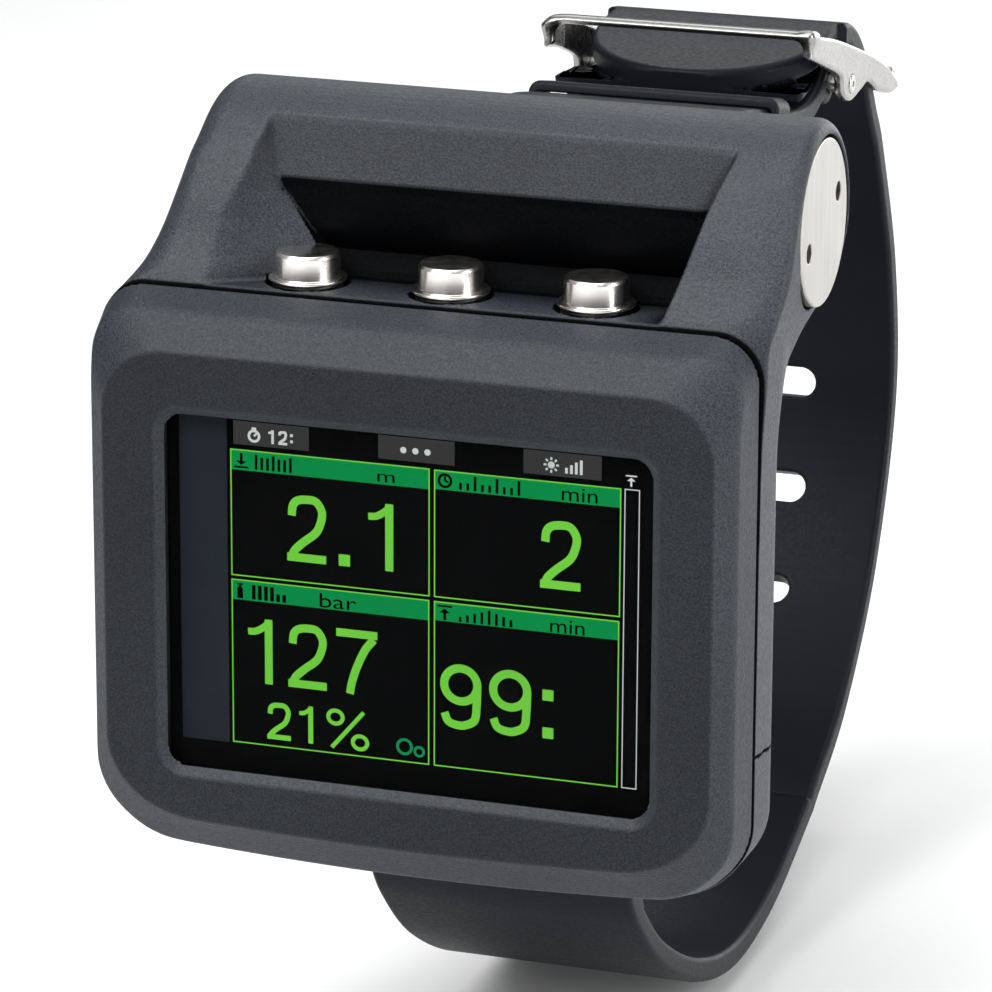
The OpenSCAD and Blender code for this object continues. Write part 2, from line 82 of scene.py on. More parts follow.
def round_max(one, other, radius):
    """Intersection with a round edge."""
    corner = np.sqrt(np.maximum(one + radius, 0) ** 2 + np.maximum(other + radius, 0) ** 2)
    return np.minimum(np.maximum(one, other), -radius) + corner


def cut(solid, tool, radius=0):
    """Take a tool shape out of a solid, with a sharp or a round edge."""
    return round_max(solid, -tool, radius) if radius else np.maximum(solid, -tool)


def slab(value, low, high):
    return np.maximum(low - value, value - high)


def off_axis(y, z, axis):
    """Distance from a line along X through the point axis = (y, z)."""
    return np.sqrt((y - axis[0]) ** 2 + (z - axis[1]) ** 2)


def round_rect(x, z, half_width, half_height, radius):
    over_x = np.abs(x) - half_width + radius
    over_z = np.abs(z) - half_height + radius
    corner = np.sqrt(np.maximum(over_x, 0) ** 2 + np.maximum(over_z, 0) ** 2)
    return np.minimum(np.maximum(over_x, over_z), 0) + corner - radius


def case_rect(x, z, half_width, half_height, top_radius, low_radius):
    """Rounded rectangle whose upper and lower corners differ."""
    return round_rect(x, z, half_width, half_height, np.where(z > 0, top_radius, low_radius))


def polygon(u, v, points):
    """Signed distance to a closed polygon; u and v broadcast."""
    points = np.array(points, float)
    u, v = np.broadcast_arrays(np.asarray(u, float), np.asarray(v, float))
    nearest = np.full(u.shape, 1e9)
    sign = np.ones(u.shape)
    for i in range(len(points)):
        corner, before = points[i], points[i - 1]
        edge_u, edge_v = before - corner
        off_u, off_v = u - corner[0], v - corner[1]
        length2 = max(edge_u * edge_u + edge_v * edge_v, 1e-12)
        along = np.clip((off_u * edge_u + off_v * edge_v) / length2, 0, 1)
        gap2 = (off_u - edge_u * along) ** 2 + (off_v - edge_v * along) ** 2
        nearest = np.minimum(nearest, gap2)
        above = v >= corner[1]
        below = v < before[1]
        beside = edge_u * off_v > edge_v * off_u
        crossing = (above & below & beside) | (~above & ~below & ~beside)
        sign = np.where(crossing, -sign, sign)
    return sign * np.sqrt(nearest)


class Sampled:
    """A 2-D field sampled once and read by bilinear lookup, to keep 3-D evaluation cheap."""

    def __init__(self, field, low, high, step):
        self.low, self.step = low, step
        self.count = [int(math.ceil((high[k] - low[k]) / step)) + 1 for k in range(2)]
        u = low[0] + step * np.arange(self.count[0])
        v = low[1] + step * np.arange(self.count[1])
        self.values = field(u[:, None], v[None, :]).astype(float)

    def __call__(self, u, v):
        u, v = np.broadcast_arrays(u, v)
        at_u = np.clip((u - self.low[0]) / self.step, 0, self.count[0] - 1.001)
        at_v = np.clip((v - self.low[1]) / self.step, 0, self.count[1] - 1.001)
        i, j = at_u.astype(int), at_v.astype(int)
        part_u, part_v = at_u - i, at_v - j
        values = self.values
        return (values[i, j] * (1 - part_u) * (1 - part_v)
                + values[i + 1, j] * part_u * (1 - part_v)
                + values[i, j + 1] * (1 - part_u) * part_v
                + values[i + 1, j + 1] * part_u * part_v)


def sampled_outline(points, low, high, step):
    return Sampled(lambda u, v: polygon(u, v, points), low, high, step)


# ==== Curves in a plane ======================================================================

def curve(points, steps, closed=False):
    """Catmull-Rom curve through the points, with a number of steps per span."""
    given = np.array(points, float)
    if closed:
        knots = np.vstack([given[-1], given, given[0], given[1]])
    else:
        knots = np.vstack([2 * given[0] - given[1], given, 2 * given[-1] - given[-2]])
    out = []
    for i in range(1, (len(given) if closed else len(given) - 1) + 1):
        before, start, end, after = knots[i - 1:i + 3]
        for k in range(steps):
            t = k / steps
            out.append(0.5 * (2 * start + (end - before) * t
                              + (2 * before - 5 * start + 4 * end - after) * t * t
                              + (3 * start - before - 3 * end + after) * t ** 3))
    if not closed:
        out.append(given[-1])
    return np.array(out)


def arc(centre, radius, degrees):
    return [(centre[0] + radius * math.cos(math.radians(a)),
             centre[1] + radius * math.sin(math.radians(a))) for a in degrees]


def unit(steps):
    return steps / np.linalg.norm(steps, axis=1)[:, None]


def left_of(directions):
    return np.stack([-directions[:, 1], directions[:, 0]], 1)


def thicken(path, thickness):
    """Closed outline between a path and its offset; a positive thickness goes to its left."""
    sideways = left_of(unit(np.gradient(path, axis=0)))
    return np.vstack([path, (path + thickness * sideways)[::-1]])


# ==== Meshes =================================================================================

CORNERS = np.array([[i & 1, i >> 1 & 1, i >> 2] for i in range(8)])
EDGES = [(i, i | bit) for bit in (1, 2, 4) for i in range(8) if not i & bit]
REFINE_PASSES = 2


def value_and_gradient(field, points, reach=0.02):
    """The field at the points and its unit gradient there."""
    x, y, z = points.T
    slope = np.stack([field(x + reach, y, z) - field(x - reach, y, z),
                      field(x, y + reach, z) - field(x, y - reach, z),
                      field(x, y, z + reach) - field(x, y, z - reach)], 1)
    length = np.linalg.norm(slope, axis=1)
    return field(x, y, z), slope / np.maximum(length, 1e-9)[:, None]


def surface_nets(field, low, high, cell):
    """Quad mesh of the zero surface inside a box: points, faces and point normals."""
    low, high = np.array(low, float), np.array(high, float)
    count = np.ceil((high - low) / cell).astype(int) + 1
    xs, ys, zs = (low[k] + cell * np.arange(count[k]) for k in range(3))
    values = np.empty(tuple(count), np.float32)
    batch = max(1, int(3e6 // (count[1] * count[2])))      # layers at a time, to save memory
    for i in range(0, count[0], batch):
        layers = xs[i:i + batch][:, None, None]
        values[i:i + batch] = field(layers, ys[None, :, None], zs[None, None, :])
    inside = values < 0

    # one point in each cell that the surface crosses, at the mean of its edge crossings
    filled = np.zeros(tuple(count - 1), np.int8)
    for i, j, k in CORNERS:
        filled += inside[i:count[0] - 1 + i, j:count[1] - 1 + j, k:count[2] - 1 + k]
    active = np.argwhere((filled > 0) & (filled < 8))
    point_of = np.full(tuple(count - 1), -1, np.int32)
    point_of[tuple(active.T)] = np.arange(len(active))
    at_corner = np.stack([values[tuple((active + c).T)] for c in CORNERS], 1).astype(float)
    total = np.zeros((len(active), 3))
    crossings = np.zeros(len(active))
    for start, end in EDGES:
        first, last = at_corner[:, start], at_corner[:, end]
        crossed = (first < 0) != (last < 0)
        part = np.where(crossed, first / np.where(first == last, 1, first - last), 0)
        step = (CORNERS[end] - CORNERS[start])[None]
        total += crossed[:, None] * (CORNERS[start][None] + part[:, None] * step)
        crossings += crossed
    points = low + cell * (active + total / crossings[:, None])

    # one face across each grid edge that changes sign
    faces = []
    for axis in range(3):
        side, other = [k for k in range(3) if k != axis]
        near, far = [slice(None)] * 3, [slice(None)] * 3
        near[axis], far[axis] = slice(0, -1), slice(1, None)
        leaving = inside[tuple(near)]
        found = np.argwhere(leaving != inside[tuple(far)])
        found = found[(found[:, side] > 0) & (found[:, other] > 0)
                      & (found[:, side] < count[side] - 1)
                      & (found[:, other] < count[other] - 1)]
        around = []
        for step_side, step_other in ((-1, -1), (0, -1), (0, 0), (-1, 0)):
            place = found.copy()
            place[:, side] += step_side
            place[:, other] += step_other
            around.append(point_of[tuple(place.T)])
        around = np.stack(around, 1)
        keep = leaving[tuple(found.T)]
        if axis == 1:
            keep = ~keep
        faces.append(np.where(keep[:, None], around, around[:, ::-1]))

    for _ in range(REFINE_PASSES):
        distance, gradient = value_and_gradient(field, points)
        points = points - np.clip(distance, -cell * 0.5, cell * 0.5)[:, None] * gradient
    return points, np.vstack(faces), value_and_gradient(field, points)[1]


def add_object(name, data, material=None):
    ob = bpy.data.objects.new(name, data)
    bpy.context.scene.collection.objects.link(ob)
    if material is not None:
        data.materials.append(material)
    return ob


def mesh_object(name, points, faces, normals, material):
    """Smooth mesh from equal-sided faces, without the points that no face uses."""
    points = np.asarray(points, float) * MM
    used = np.unique(faces)
    if len(used) < len(points):
        renumber = np.full(len(points), -1)
        renumber[used] = np.arange(len(used))
        points, faces = points[used], renumber[faces]
        normals = None if normals is None else normals[used]
    sides = faces.shape[1]
    mesh = bpy.data.meshes.new(name)
    mesh.vertices.add(len(points))
    mesh.vertices.foreach_set("co", points.astype(np.float32).ravel())
    mesh.loops.add(faces.size)
    mesh.loops.foreach_set("vertex_index", faces.astype(np.int32).ravel())
    mesh.polygons.add(len(faces))
    starts = np.arange(0, faces.size, sides, dtype=np.int32)
    mesh.polygons.foreach_set("loop_start", starts)
    mesh.update(calc_edges=True)
    mesh.polygons.foreach_set("use_smooth", np.ones(len(faces), bool))
    if normals is not None:
        mesh.normals_split_custom_set_from_vertices(normals.astype(np.float32))
    mesh.validate()
    return add_object(name, mesh, material)


def points_mm(mesh):
    points = np.zeros(len(mesh.vertices) * 3)
    mesh.vertices.foreach_get("co", points)
    return points.reshape(-1, 3) / MM


def field_object(name, field, low, high, cell, material, cavity=()):
    """Mesh a field over a box.

    cavity lists reaches in mm; each vertex stores how far it is closed in over those reaches
    along its normal, an occlusion estimate that the materials paint in as shade in recesses.
    """
    ob = mesh_object(name, *surface_nets(field, low, high, cell * CELL_SCALE), material)
    if cavity:
        points = points_mm(ob.data)
        _, outward = value_and_gradient(field, points)
        # painted shade: how closed in each vertex is, later darkening its colour and gloss
        closed = np.zeros(len(points))
        for reach in cavity:
            x, y, z = (points + outward * reach).T
            closed += np.clip((reach - field(x, y, z)) / reach, 0, 1) / len(cavity)
        stored = ob.data.attributes.new("cavity", "FLOAT", "POINT")
        stored.data.foreach_set("value", closed.astype(np.float32))
    return ob


def repaint_shade(ob, rule):
    """Replace the stored painted-shade (cavity) values by rule(x, y, z, value)."""
    stored = ob.data.attributes["cavity"]
    value = np.zeros(len(ob.data.vertices), np.float32)
    stored.data.foreach_get("value", value)
    value = rule(*points_mm(ob.data).T, value)
    stored.data.foreach_set("value", value.astype(np.float32))


def lathe(name, profile, centre, material, sides=96):
    """Turn a (radius, height) profile that starts and ends on the axis about Z."""
    turn = 2 * np.pi * np.arange(sides) / sides
    points = [np.stack([radius * np.cos(turn), radius * np.sin(turn), np.full(sides, height)], 1)
              for radius, height in profile[1:-1]]
    points.append(np.array([[0, 0, profile[0][1]], [0, 0, profile[-1][1]]]))
    points = (np.vstack(points) + np.array([*centre, 0])) * MM
    rings = len(profile) - 2
    last = (rings - 1) * sides
    faces = []
    for i in range(0, last, sides):
        for k in range(sides):
            here, following = i + k, i + (k + 1) % sides
            faces.append([here, following, following + sides, here + sides])
    for k in range(sides):
        following = (k + 1) % sides
        faces.append([rings * sides, following, k])
        faces.append([rings * sides + 1, last + k, last + following])
    mesh = bpy.data.meshes.new(name)
    mesh.from_pydata(points.tolist(), [], faces)
    mesh.update()
    mesh.polygons.foreach_set("use_smooth", np.ones(len(mesh.polygons), bool))
    mesh.set_sharp_from_angle(angle=math.radians(24))
    return add_object(name, mesh, material)


def fit(piece, body, slot, *replaced):
    """Hide what a piece replaces and attach it to what it moves with; the slot is not used."""
    if replaced:
        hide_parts(*replaced)
    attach(piece, body)


# ==== Materials ==============================================================================

class Nodes:
    """Shader tree of a material or world."""

    def __init__(self, owner):
        self.owner = owner
        owner.use_nodes = True
        self.tree = owner.node_tree
        self.tree.nodes.clear()

    def feed(self, socket, value):
        """Link a socket to another, or set its value; None leaves it alone."""
        if isinstance(value, bpy.types.NodeSocket):
            self.tree.links.new(value, socket)
        elif value is not None:
            socket.default_value = value

    def add(self, kind, *values, **named):
        """Values go to the first inputs; names are inputs (_ for space) or node settings."""
        node = self.tree.nodes.new("ShaderNode" + kind)
        for i, value in enumerate(values):
            self.feed(node.inputs[i], value)
        for name, value in named.items():
            spaced = name.replace("_", " ")
            if spaced in node.inputs.keys():
                self.feed(node.inputs[spaced], value)
            else:
                setattr(node, name, value)
        return node

    def place(self, scale=(1, 1, 1)):
        where = self.add("TexCoord").outputs["Object"]
        return self.add("Mapping", Vector=where, Scale=scale).outputs["Vector"]

    def noise(self, place, scale, detail=3.0, roughness=0.5):
        return self.add("TexNoise", Vector=place, Scale=scale, Detail=detail,
                        Roughness=roughness).outputs[0]

    def ramp(self, value, *stops):
        """Colour ramp with (position, colour) stops."""
        node = self.add("ValToRGB", value)
        elements = node.color_ramp.elements
        while len(elements) < len(stops):
            elements.new(0.5)
        for element, (position, color) in zip(elements, stops):
            element.position = position
            element.color = (*color, 1)
        return node.outputs[0]

    def shade(self, value, dark, light, over=(0.3, 0.7)):
        return self.ramp(value, (over[0], dark), (over[1], light))

    def span(self, value, to=(0.0, 1.0), over=(0.3, 0.7)):
        """Map the range over onto the range to."""
        return self.add("MapRange", value, *over, *to).outputs[0]

    def bump(self, height, distance, strength, normal=None):
        return self.add("Bump", Distance=distance, Strength=strength, Height=height,
                        Normal=normal).outputs[0]

    def math(self, operation, *values):
        return self.add("Math", *values, operation=operation).outputs[0]

    def scale(self, vector, factor):
        return self.add("VectorMath", vector, operation="SCALE", Scale=factor).outputs[0]

    def output(self, shader, kind="OutputMaterial"):
        self.add(kind, shader.outputs[0])
        return self.owner


def material_nodes(name):
    return Nodes(bpy.data.materials.new(name))


def paint_recess_shade(nodes, bsdf, colour, face_shade_mask=None):
    """Painted shade: less colour and gloss where the cavity (occlusion) attribute is high; the
    face mask scales the gloss.
    """
    closed = nodes.add("Attribute", attribute_name="cavity").outputs["Fac"]
    open_share = nodes.span(closed, to=(1.0, 0.06), over=(0.06, 0.55))
    specular = bsdf.inputs["Specular IOR Level"]
    gloss = nodes.math("MULTIPLY", open_share, specular.default_value)
    if face_shade_mask is not None:
        gloss = nodes.math("MULTIPLY", gloss, face_shade_mask)
    nodes.feed(bsdf.inputs["Base Color"], nodes.scale(colour, open_share))
    nodes.feed(specular, gloss)


def case_plastic(name, dark, light, roughness=0.48, gloss=0.36, face_y=None):
    """Grained plastic; with face_y (in metres) the flat face there is painted darker and duller as
    shade.
    """
    nodes = material_nodes(name)
    place = nodes.place()
    fine = nodes.noise(place, scale=5200, detail=2.0, roughness=0.6)
    grain = nodes.noise(place, scale=2600, detail=2.0)
    broad = nodes.noise(place, scale=26)
    speckle = nodes.span(fine, to=(0.45, 1.75), over=(0.35, 0.66))
    speckled = nodes.scale(nodes.shade(broad, dark, light), speckle)

    # painted highlight: convex edges made lighter, standing in for edges catching the light
    pointiness = nodes.add("NewGeometry").outputs["Pointiness"]
    edge_highlight = nodes.span(pointiness, to=(0.0, 0.35), over=(0.515, 0.56))
    edge_highlight_mix = nodes.add("Mix", edge_highlight, data_type="RGBA", blend_type="ADD")
    edge_highlight_mix.inputs[6].default_value = (0, 0, 0, 1)
    edge_highlight_mix.inputs[7].default_value = (0.020, 0.021, 0.024, 1)
    colour = nodes.add("VectorMath", speckled, edge_highlight_mix.outputs[2], operation="ADD").outputs[0]

    # painted shade: the flat face at face_y is darkened to 62 % and its gloss lowered
    face_shade_mask = None
    if face_y is not None:
        depth = nodes.add("SeparateXYZ", place).outputs["Y"]
        face_shade_mask = nodes.span(depth, to=(0.62, 1.0), over=(face_y + 0.00003, face_y + 0.00022))
        colour = nodes.scale(colour, face_shade_mask)
    coarse_bump = nodes.bump(grain, distance=0.00003, strength=0.7)
    bsdf = nodes.add(
        "BsdfPrincipled",
        Roughness=nodes.span(grain, to=(roughness - 0.06, roughness + 0.10)),
        Normal=nodes.bump(fine, distance=0.00006, strength=0.9, normal=coarse_bump),
        Specular_IOR_Level=gloss)
    paint_recess_shade(nodes, bsdf, colour, face_shade_mask)
    return nodes.output(bsdf)


def rubber(name, dark, light, roughness):
    nodes = material_nodes(name)
    place = nodes.place()
    broad = nodes.noise(place, scale=40, roughness=0.55)
    fine = nodes.noise(place, scale=2400, detail=2.0, roughness=0.55)
    broad_bump = nodes.bump(broad, distance=0.00008, strength=0.35)
    bsdf = nodes.add(
        "BsdfPrincipled",
        Roughness=nodes.span(fine, to=(roughness - 0.05, roughness + 0.09)),
        Normal=nodes.bump(fine, distance=0.000018, strength=0.8, normal=broad_bump),
        Specular_IOR_Level=0.13)
    paint_recess_shade(nodes, bsdf, nodes.shade(broad, dark, light, over=(0.3, 0.75)))
    return nodes.output(bsdf)


def metal(name, color, roughness, stretch=(1, 1, 1), scale=900, bump=0.00001, vary=0.08):
    """Metal whose fine noise is stretched by small factors into brush marks."""
    nodes = material_nodes(name)
    fine = nodes.noise(nodes.place(stretch), scale=scale, roughness=0.6)
    broad = nodes.noise(nodes.place(), scale=60)
    dark = tuple(c * 0.86 for c in color)
    return nodes.output(nodes.add(
        "BsdfPrincipled",
        Base_Color=nodes.shade(broad, dark, color),
        Metallic=1.0,
        Roughness=nodes.span(fine, to=(roughness - vary, roughness + vary), over=(0.25, 0.75)),
        Normal=nodes.bump(fine, distance=bump, strength=0.7)))


def turned_metal(name, centre, color=(0.45, 0.435, 0.405), roughness=0.30):
    """Faint straight brushing across a turned face, with fine concentric tool marks."""
    nodes = material_nodes(name)
    place = nodes.add("VectorMath", nodes.add("TexCoord").outputs["Object"], centre,
                      operation="SUBTRACT").outputs[0]
    stretched = nodes.add("Mapping", place, Scale=(1, 1, 0.05), Rotation=(0.35, 0, 0))
    brush = nodes.noise(stretched.outputs[0], scale=1500, roughness=0.6)
    radius = nodes.add("VectorMath", place, operation="LENGTH").outputs["Value"]
    tool_marks = nodes.math("SINE", nodes.math("MULTIPLY", radius, 26000))
    broad = nodes.noise(place, scale=70, detail=2.0)
    brush_bump = nodes.bump(brush, distance=0.000006, strength=0.7)
    dark = tuple(c * 0.82 for c in color)
    return nodes.output(nodes.add(
        "BsdfPrincipled",
        Base_Color=nodes.shade(brush, dark, color, over=(0.25, 0.75)),
        Metallic=1.0,
        Roughness=nodes.span(broad, to=(roughness - 0.04, roughness + 0.06)),
        Normal=nodes.bump(tool_marks, distance=0.0000012, strength=0.5, normal=brush_bump)))


def lit_screen(name, color, strength):
    """Lit area of the screen, with the fine dark grid between its dots."""
    dot_pitch = 0.00014
    nodes = material_nodes(name)
    place = nodes.place()
    axes = nodes.add("SeparateXYZ", place)
    lines = []
    for axis in "XZ":
        phase = nodes.math("MULTIPLY", axes.outputs[axis], 2 * math.pi / dot_pitch)
        wave = nodes.math("COSINE", phase)
        lines.append(nodes.span(wave, to=(0.72, 1.0), over=(-1.0, -0.35)))
    uneven = nodes.span(nodes.noise(place, scale=90, detail=2.0), to=(0.94, 1.04))
    level = nodes.math("MULTIPLY", nodes.math("MULTIPLY", *lines), uneven)
    return nodes.output(nodes.add("Emission", Color=(*color, 1),
                                  Strength=nodes.math("MULTIPLY", level, strength)))


def black_panel(name):
    nodes = material_nodes(name)
    mottle = nodes.noise(nodes.place(), scale=300, detail=2.0)
    return nodes.output(nodes.add(
        "BsdfPrincipled",
        Base_Color=nodes.shade(mottle, (0.0016, 0.0017, 0.0018), (0.0024, 0.0025, 0.0027)),
        Roughness=nodes.span(mottle, to=(0.5, 0.6)),
        Specular_IOR_Level=0.0))


def coated_glass(name):
    """Clear glass that reflects a little on its outward side, more at a glancing angle."""
    nodes = material_nodes(name)
    clear = nodes.add("BsdfTransparent", (0.985, 0.99, 0.99, 1))
    mottle = nodes.noise(nodes.place(), scale=120, detail=2.0)
    mirror = nodes.add("BsdfGlossy", Roughness=nodes.span(mottle, to=(0.03, 0.06)))
    facing = nodes.add("LayerWeight", Blend=0.5).outputs["Facing"]
    glancing = nodes.math("POWER", facing, 4.0)
    # reflection rises from 0.001 face on by 0.30 at the edge
    reflection = nodes.math("MULTIPLY_ADD", glancing, 0.30, 0.001)
    backfacing = nodes.add("NewGeometry").outputs["Backfacing"]
    front = nodes.math("SUBTRACT", 1.0, backfacing)
    share = nodes.math("MULTIPLY", reflection, front)
    return nodes.output(nodes.add("MixShader", share, clear.outputs[0], mirror.outputs[0]))


def circuit_board(name):
    nodes = material_nodes(name)
    place = nodes.place()
    upright = nodes.add("Mapping", place, Rotation=(math.pi / 2, 0, 0)).outputs[0]
    bricks = nodes.add("TexBrick", Vector=upright, Scale=260, Color1=(0.012, 0.10, 0.045, 1),
                       Color2=(0.010, 0.085, 0.04, 1), Mortar=(0.03, 0.20, 0.09, 1))
    return nodes.output(nodes.add(
        "BsdfPrincipled", Base_Color=bricks.outputs[0],
        Roughness=nodes.span(nodes.noise(place, scale=400), to=(0.3, 0.45))))


def plain(name, dark, light, roughness=0.5, scale=300, gloss=0.5):
    nodes = material_nodes(name)
    mottle = nodes.noise(nodes.place(), scale=scale, roughness=0.55)
    return nodes.output(nodes.add(
        "BsdfPrincipled",
        Base_Color=nodes.shade(mottle, dark, light),
        Roughness=nodes.span(mottle, to=(roughness - 0.05, roughness + 0.08)),
        Normal=nodes.bump(mottle, distance=0.00002, strength=0.6),
        Metallic=0.0,
        Specular_IOR_Level=gloss))


CASE = case_plastic("case_grain", dark=(0.0175, 0.0205, 0.0268), light=(0.0260, 0.0298, 0.0375))
BEZEL = case_plastic("bezel_grain", dark=(0.0140, 0.0166, 0.0222),
                     light=(0.0208, 0.0241, 0.0308), gloss=0.32, face_y=-0.016)
COVER = case_plastic("cover_grain", dark=(0.014, 0.0145, 0.016), light=(0.020, 0.0205, 0.023),
                     roughness=0.55)
STRAP = rubber("strap_rubber", dark=(0.0044, 0.0054, 0.0080), light=(0.0070, 0.0084, 0.0120),
               roughness=0.44)
SEAL = rubber("seal_rubber", dark=(0.008, 0.008, 0.009), light=(0.014, 0.014, 0.015),
              roughness=0.55)
BUTTON = metal("button_steel", color=(0.90, 0.865, 0.82), roughness=0.22, scale=700,
               bump=0.000003, vary=0.05)
BUCKLE = metal("buckle_steel", color=(0.33, 0.325, 0.315), roughness=0.27,
               stretch=(0.08, 1, 1), bump=0.000004, vary=0.05)
STEEL = metal("pin_steel", color=(0.55, 0.54, 0.52), roughness=0.25)
SPRING = metal("spring_steel", color=(0.5, 0.5, 0.5), roughness=0.3)
BRONZE = metal("bushing_bronze", color=(0.62, 0.45, 0.20), roughness=0.3)
COPPER = metal("coil_copper", color=(0.66, 0.32, 0.15), roughness=0.35, stretch=(1, 0.1, 1),
               scale=1400, bump=0.00004)
CHIP = plain("chip_black", dark=(0.012, 0.012, 0.013), light=(0.022, 0.022, 0.024),
             roughness=0.45)
FLEX = plain("flex_amber", dark=(0.30, 0.14, 0.02), light=(0.40, 0.20, 0.035), roughness=0.35)
SLEEVE = plain("cell_sleeve", dark=(0.02, 0.13, 0.09), light=(0.03, 0.17, 0.11),
               roughness=0.28, scale=40)
TRAY = plain("tray_grey", dark=(0.10, 0.105, 0.11), light=(0.14, 0.145, 0.15))
BOARD = circuit_board("board_green")
PANEL = black_panel("screen_black")
GLASS = coated_glass("window_glass")


# ==== Dimensions shared between pieces, in mm ================================================

def box_mm(name):
    low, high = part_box(name)
    return np.array(low) * 1000, np.array(high) * 1000


def middle(name):
    low, high = box_mm(name)
    return (low + high) / 2


(_, FACE_Y, _), (HALF_WIDTH, SEAM_Y, HALF_HEIGHT) = box_mm("front_bezel")
RIGHT_X, _, HOUSING_TOP = box_mm("rear_housing")[1]
GLASS_Y = box_mm("window_lens")[0][1]                # front of the window
PANEL_Y, PANEL_BACK_Y = (corner[1] for corner in box_mm("display_module"))
DECK_Z = 28.7                                       # deck the buttons stand on
STRAP_X = middle("buckle_pin")[0]
# lines along X, as (y, z)
BARREL = middle("battery_cap")[1:]
UPPER_PIN = middle("upper_strap_pin")[1:]
LOWER_PIN = middle("lower_strap_pin")[1:]
BUCKLE_PIN = middle("buckle_pin")[1:]
BARREL_RADIUS = HOUSING_TOP - BARREL[1] - 0.05
PIN_HOLE_RADIUS = 1.05
LONG_HALF_WIDTH = 13.8
SHORT_HALF_WIDTH = 12.7
STRAP_THICKNESS = 2.6
SIDES = ("left", "center", "right")
BUTTON_CENTRES = {side: middle("button_" + side)[:2] for side in SIDES}


# ==== Front bezel: sloped rim round a sunk window ============================================

def bowed(x, z):
    """Height measured so that the lower edge of the body rises towards both corners."""
    rise = 0.4 + 0.6 * np.minimum((x / 21) ** 2, 1.3)
    return z - np.clip((-z - 14) / 10, 0, 1) * rise


def electronics_cavity(x, z):
    return round_rect(x, z, HALF_WIDTH - 3.2, HALF_HEIGHT - 4.0, 5.0)


def bezel_field(x, y, z):
    depth = y - FACE_Y
    height = bowed(x, z)
    # steep slope round the flat face
    top, bottom = 23.45 + depth * 1.20, -23.7 - depth * 1.26
    steep = case_rect(x, height - (top + bottom) / 2, 30.2 + depth * 1.10,
                      (top - bottom) / 2, 6.4, 8.8) * 0.64
    # second slope back to the seam
    top, bottom = 26.85 + (depth - 2.8) * 0.44, -27.6 - (depth - 3.0) * 0.24
    rear = case_rect(x, height - (top + bottom) / 2, HALF_WIDTH - 0.66 + (depth - 1.8) * 0.138,
                     (top - bottom) / 2, 4.5, 9.0) * 0.95
    solid = soft_max(steep, rear, 0.3)
    solid = soft_max(solid, FACE_Y - y, 0.2)
    solid = round_max(solid, y - (SEAM_Y - 0.18), 0.10)
    flare = np.clip(FACE_Y + 1.0 - y, 0, 3) * 1.25
    opening = round_rect(x, z + 0.125, 24.0 + flare, 17.325 + flare, 1.8 + flare * 0.9) * 0.78
    solid = soft_max(solid, -opening, 0.22)
    solid = cut(solid, np.maximum(round_rect(x, z + 0.6, 25.8, 19.6, 2.4), FACE_Y + 1.0 - y))
    return cut(solid, np.maximum(electronics_cavity(x, z), FACE_Y + 4.0 - y))


def bezel_painted_shade(x, y, z, value):
    """Weaken the stored painted shade, and paint the seam gap dark as shade."""
    return np.maximum(0.6 * value, 0.95 * np.clip((y - SEAM_Y + 0.36) / 0.16, 0, 1))


# painted shade: occlusion over the cavity reaches darkens the bezel's recesses
bezel = field_object("bezel_shell", bezel_field,
                     (-HALF_WIDTH - 0.6, FACE_Y - 0.4, -HALF_HEIGHT - 0.6),
                     (HALF_WIDTH + 0.6, SEAM_Y + 0.3, HALF_HEIGHT + 0.6),
                     0.24, BEZEL, cavity=(1.0, 3.0))
repaint_shade(bezel, bezel_painted_shade)
fit(bezel, "housing", "case", "front_bezel")


# ==== Rear housing: body, shoulders, battery barrel, button pocket and strap ears ============

# (y, z) outline of the upper part seen from the side
SIDE = sampled_outline([
    (SEAM_Y - 6, 8), (SEAM_Y - 6, 28.5),
    *curve([(SEAM_Y - 1.5, 27.75), (SEAM_Y, 28.45), (-8.7, 29.5), (-7.6, 31.2), (-6.6, 33.1),
            (-5.75, 35.2), (-4.75, 37.6), (-3.3, 40.3), *arc(BARREL, BARREL_RADIUS, [136])], 6),
    *arc(BARREL, BARREL_RADIUS, range(131, -66, -5)),
    *curve([*arc(BARREL, BARREL_RADIUS, [-71]), (6.6, 26.0), (3.4, 24.8), (0.4, 22.6),
            (-2.2, 19.5), (-3.4, 15), (-3.6, 8)], 6),
], (-17, 4), (26, 54), 0.12)

# (x, z) outline of the upper part seen from the front: left flank, then right flank
FRONT = sampled_outline([
    *curve([(-HALF_WIDTH + 1.6, 8), (-HALF_WIDTH + 1.6, 14), (-HALF_WIDTH + 0.9, 19.5),
            (-32.1, 23.9), (-31.0, 26.8), (-29.7, 29.9), (-28.7, 32.4), (-27.8, 35.4),
            (-26.95, 39.0), (-26.3, 43.0), (-26.2, 50), (-26.2, 60)], 6),
    *curve([(RIGHT_X, 60), (RIGHT_X, 50), (RIGHT_X, 36), (34.15, 32.5), (33.7, 29.4),
            (33.1, 26.4), (HALF_WIDTH - 0.35, 22.6), (HALF_WIDTH - 1.0, 18.5),
            (HALF_WIDTH - 1.6, 14), (HALF_WIDTH - 1.6, 8)], 6),
], (-37, 4), (38, 62), 0.12)

# (y, z) outline of the button pocket, which hollows round the barrel
POCKET = sampled_outline([
    (-34, DECK_Z), (-1.9, DECK_Z), (-1.3, DECK_Z + 0.5),
    *arc(BARREL, 7.8, range(220, 168, -4)),
    (-2.15, 38.0), (-0.05, 43.75), (0.35, 44.9), (-1, 70), (-34, 70),
], (-17, 24), (14, 56), 0.1)

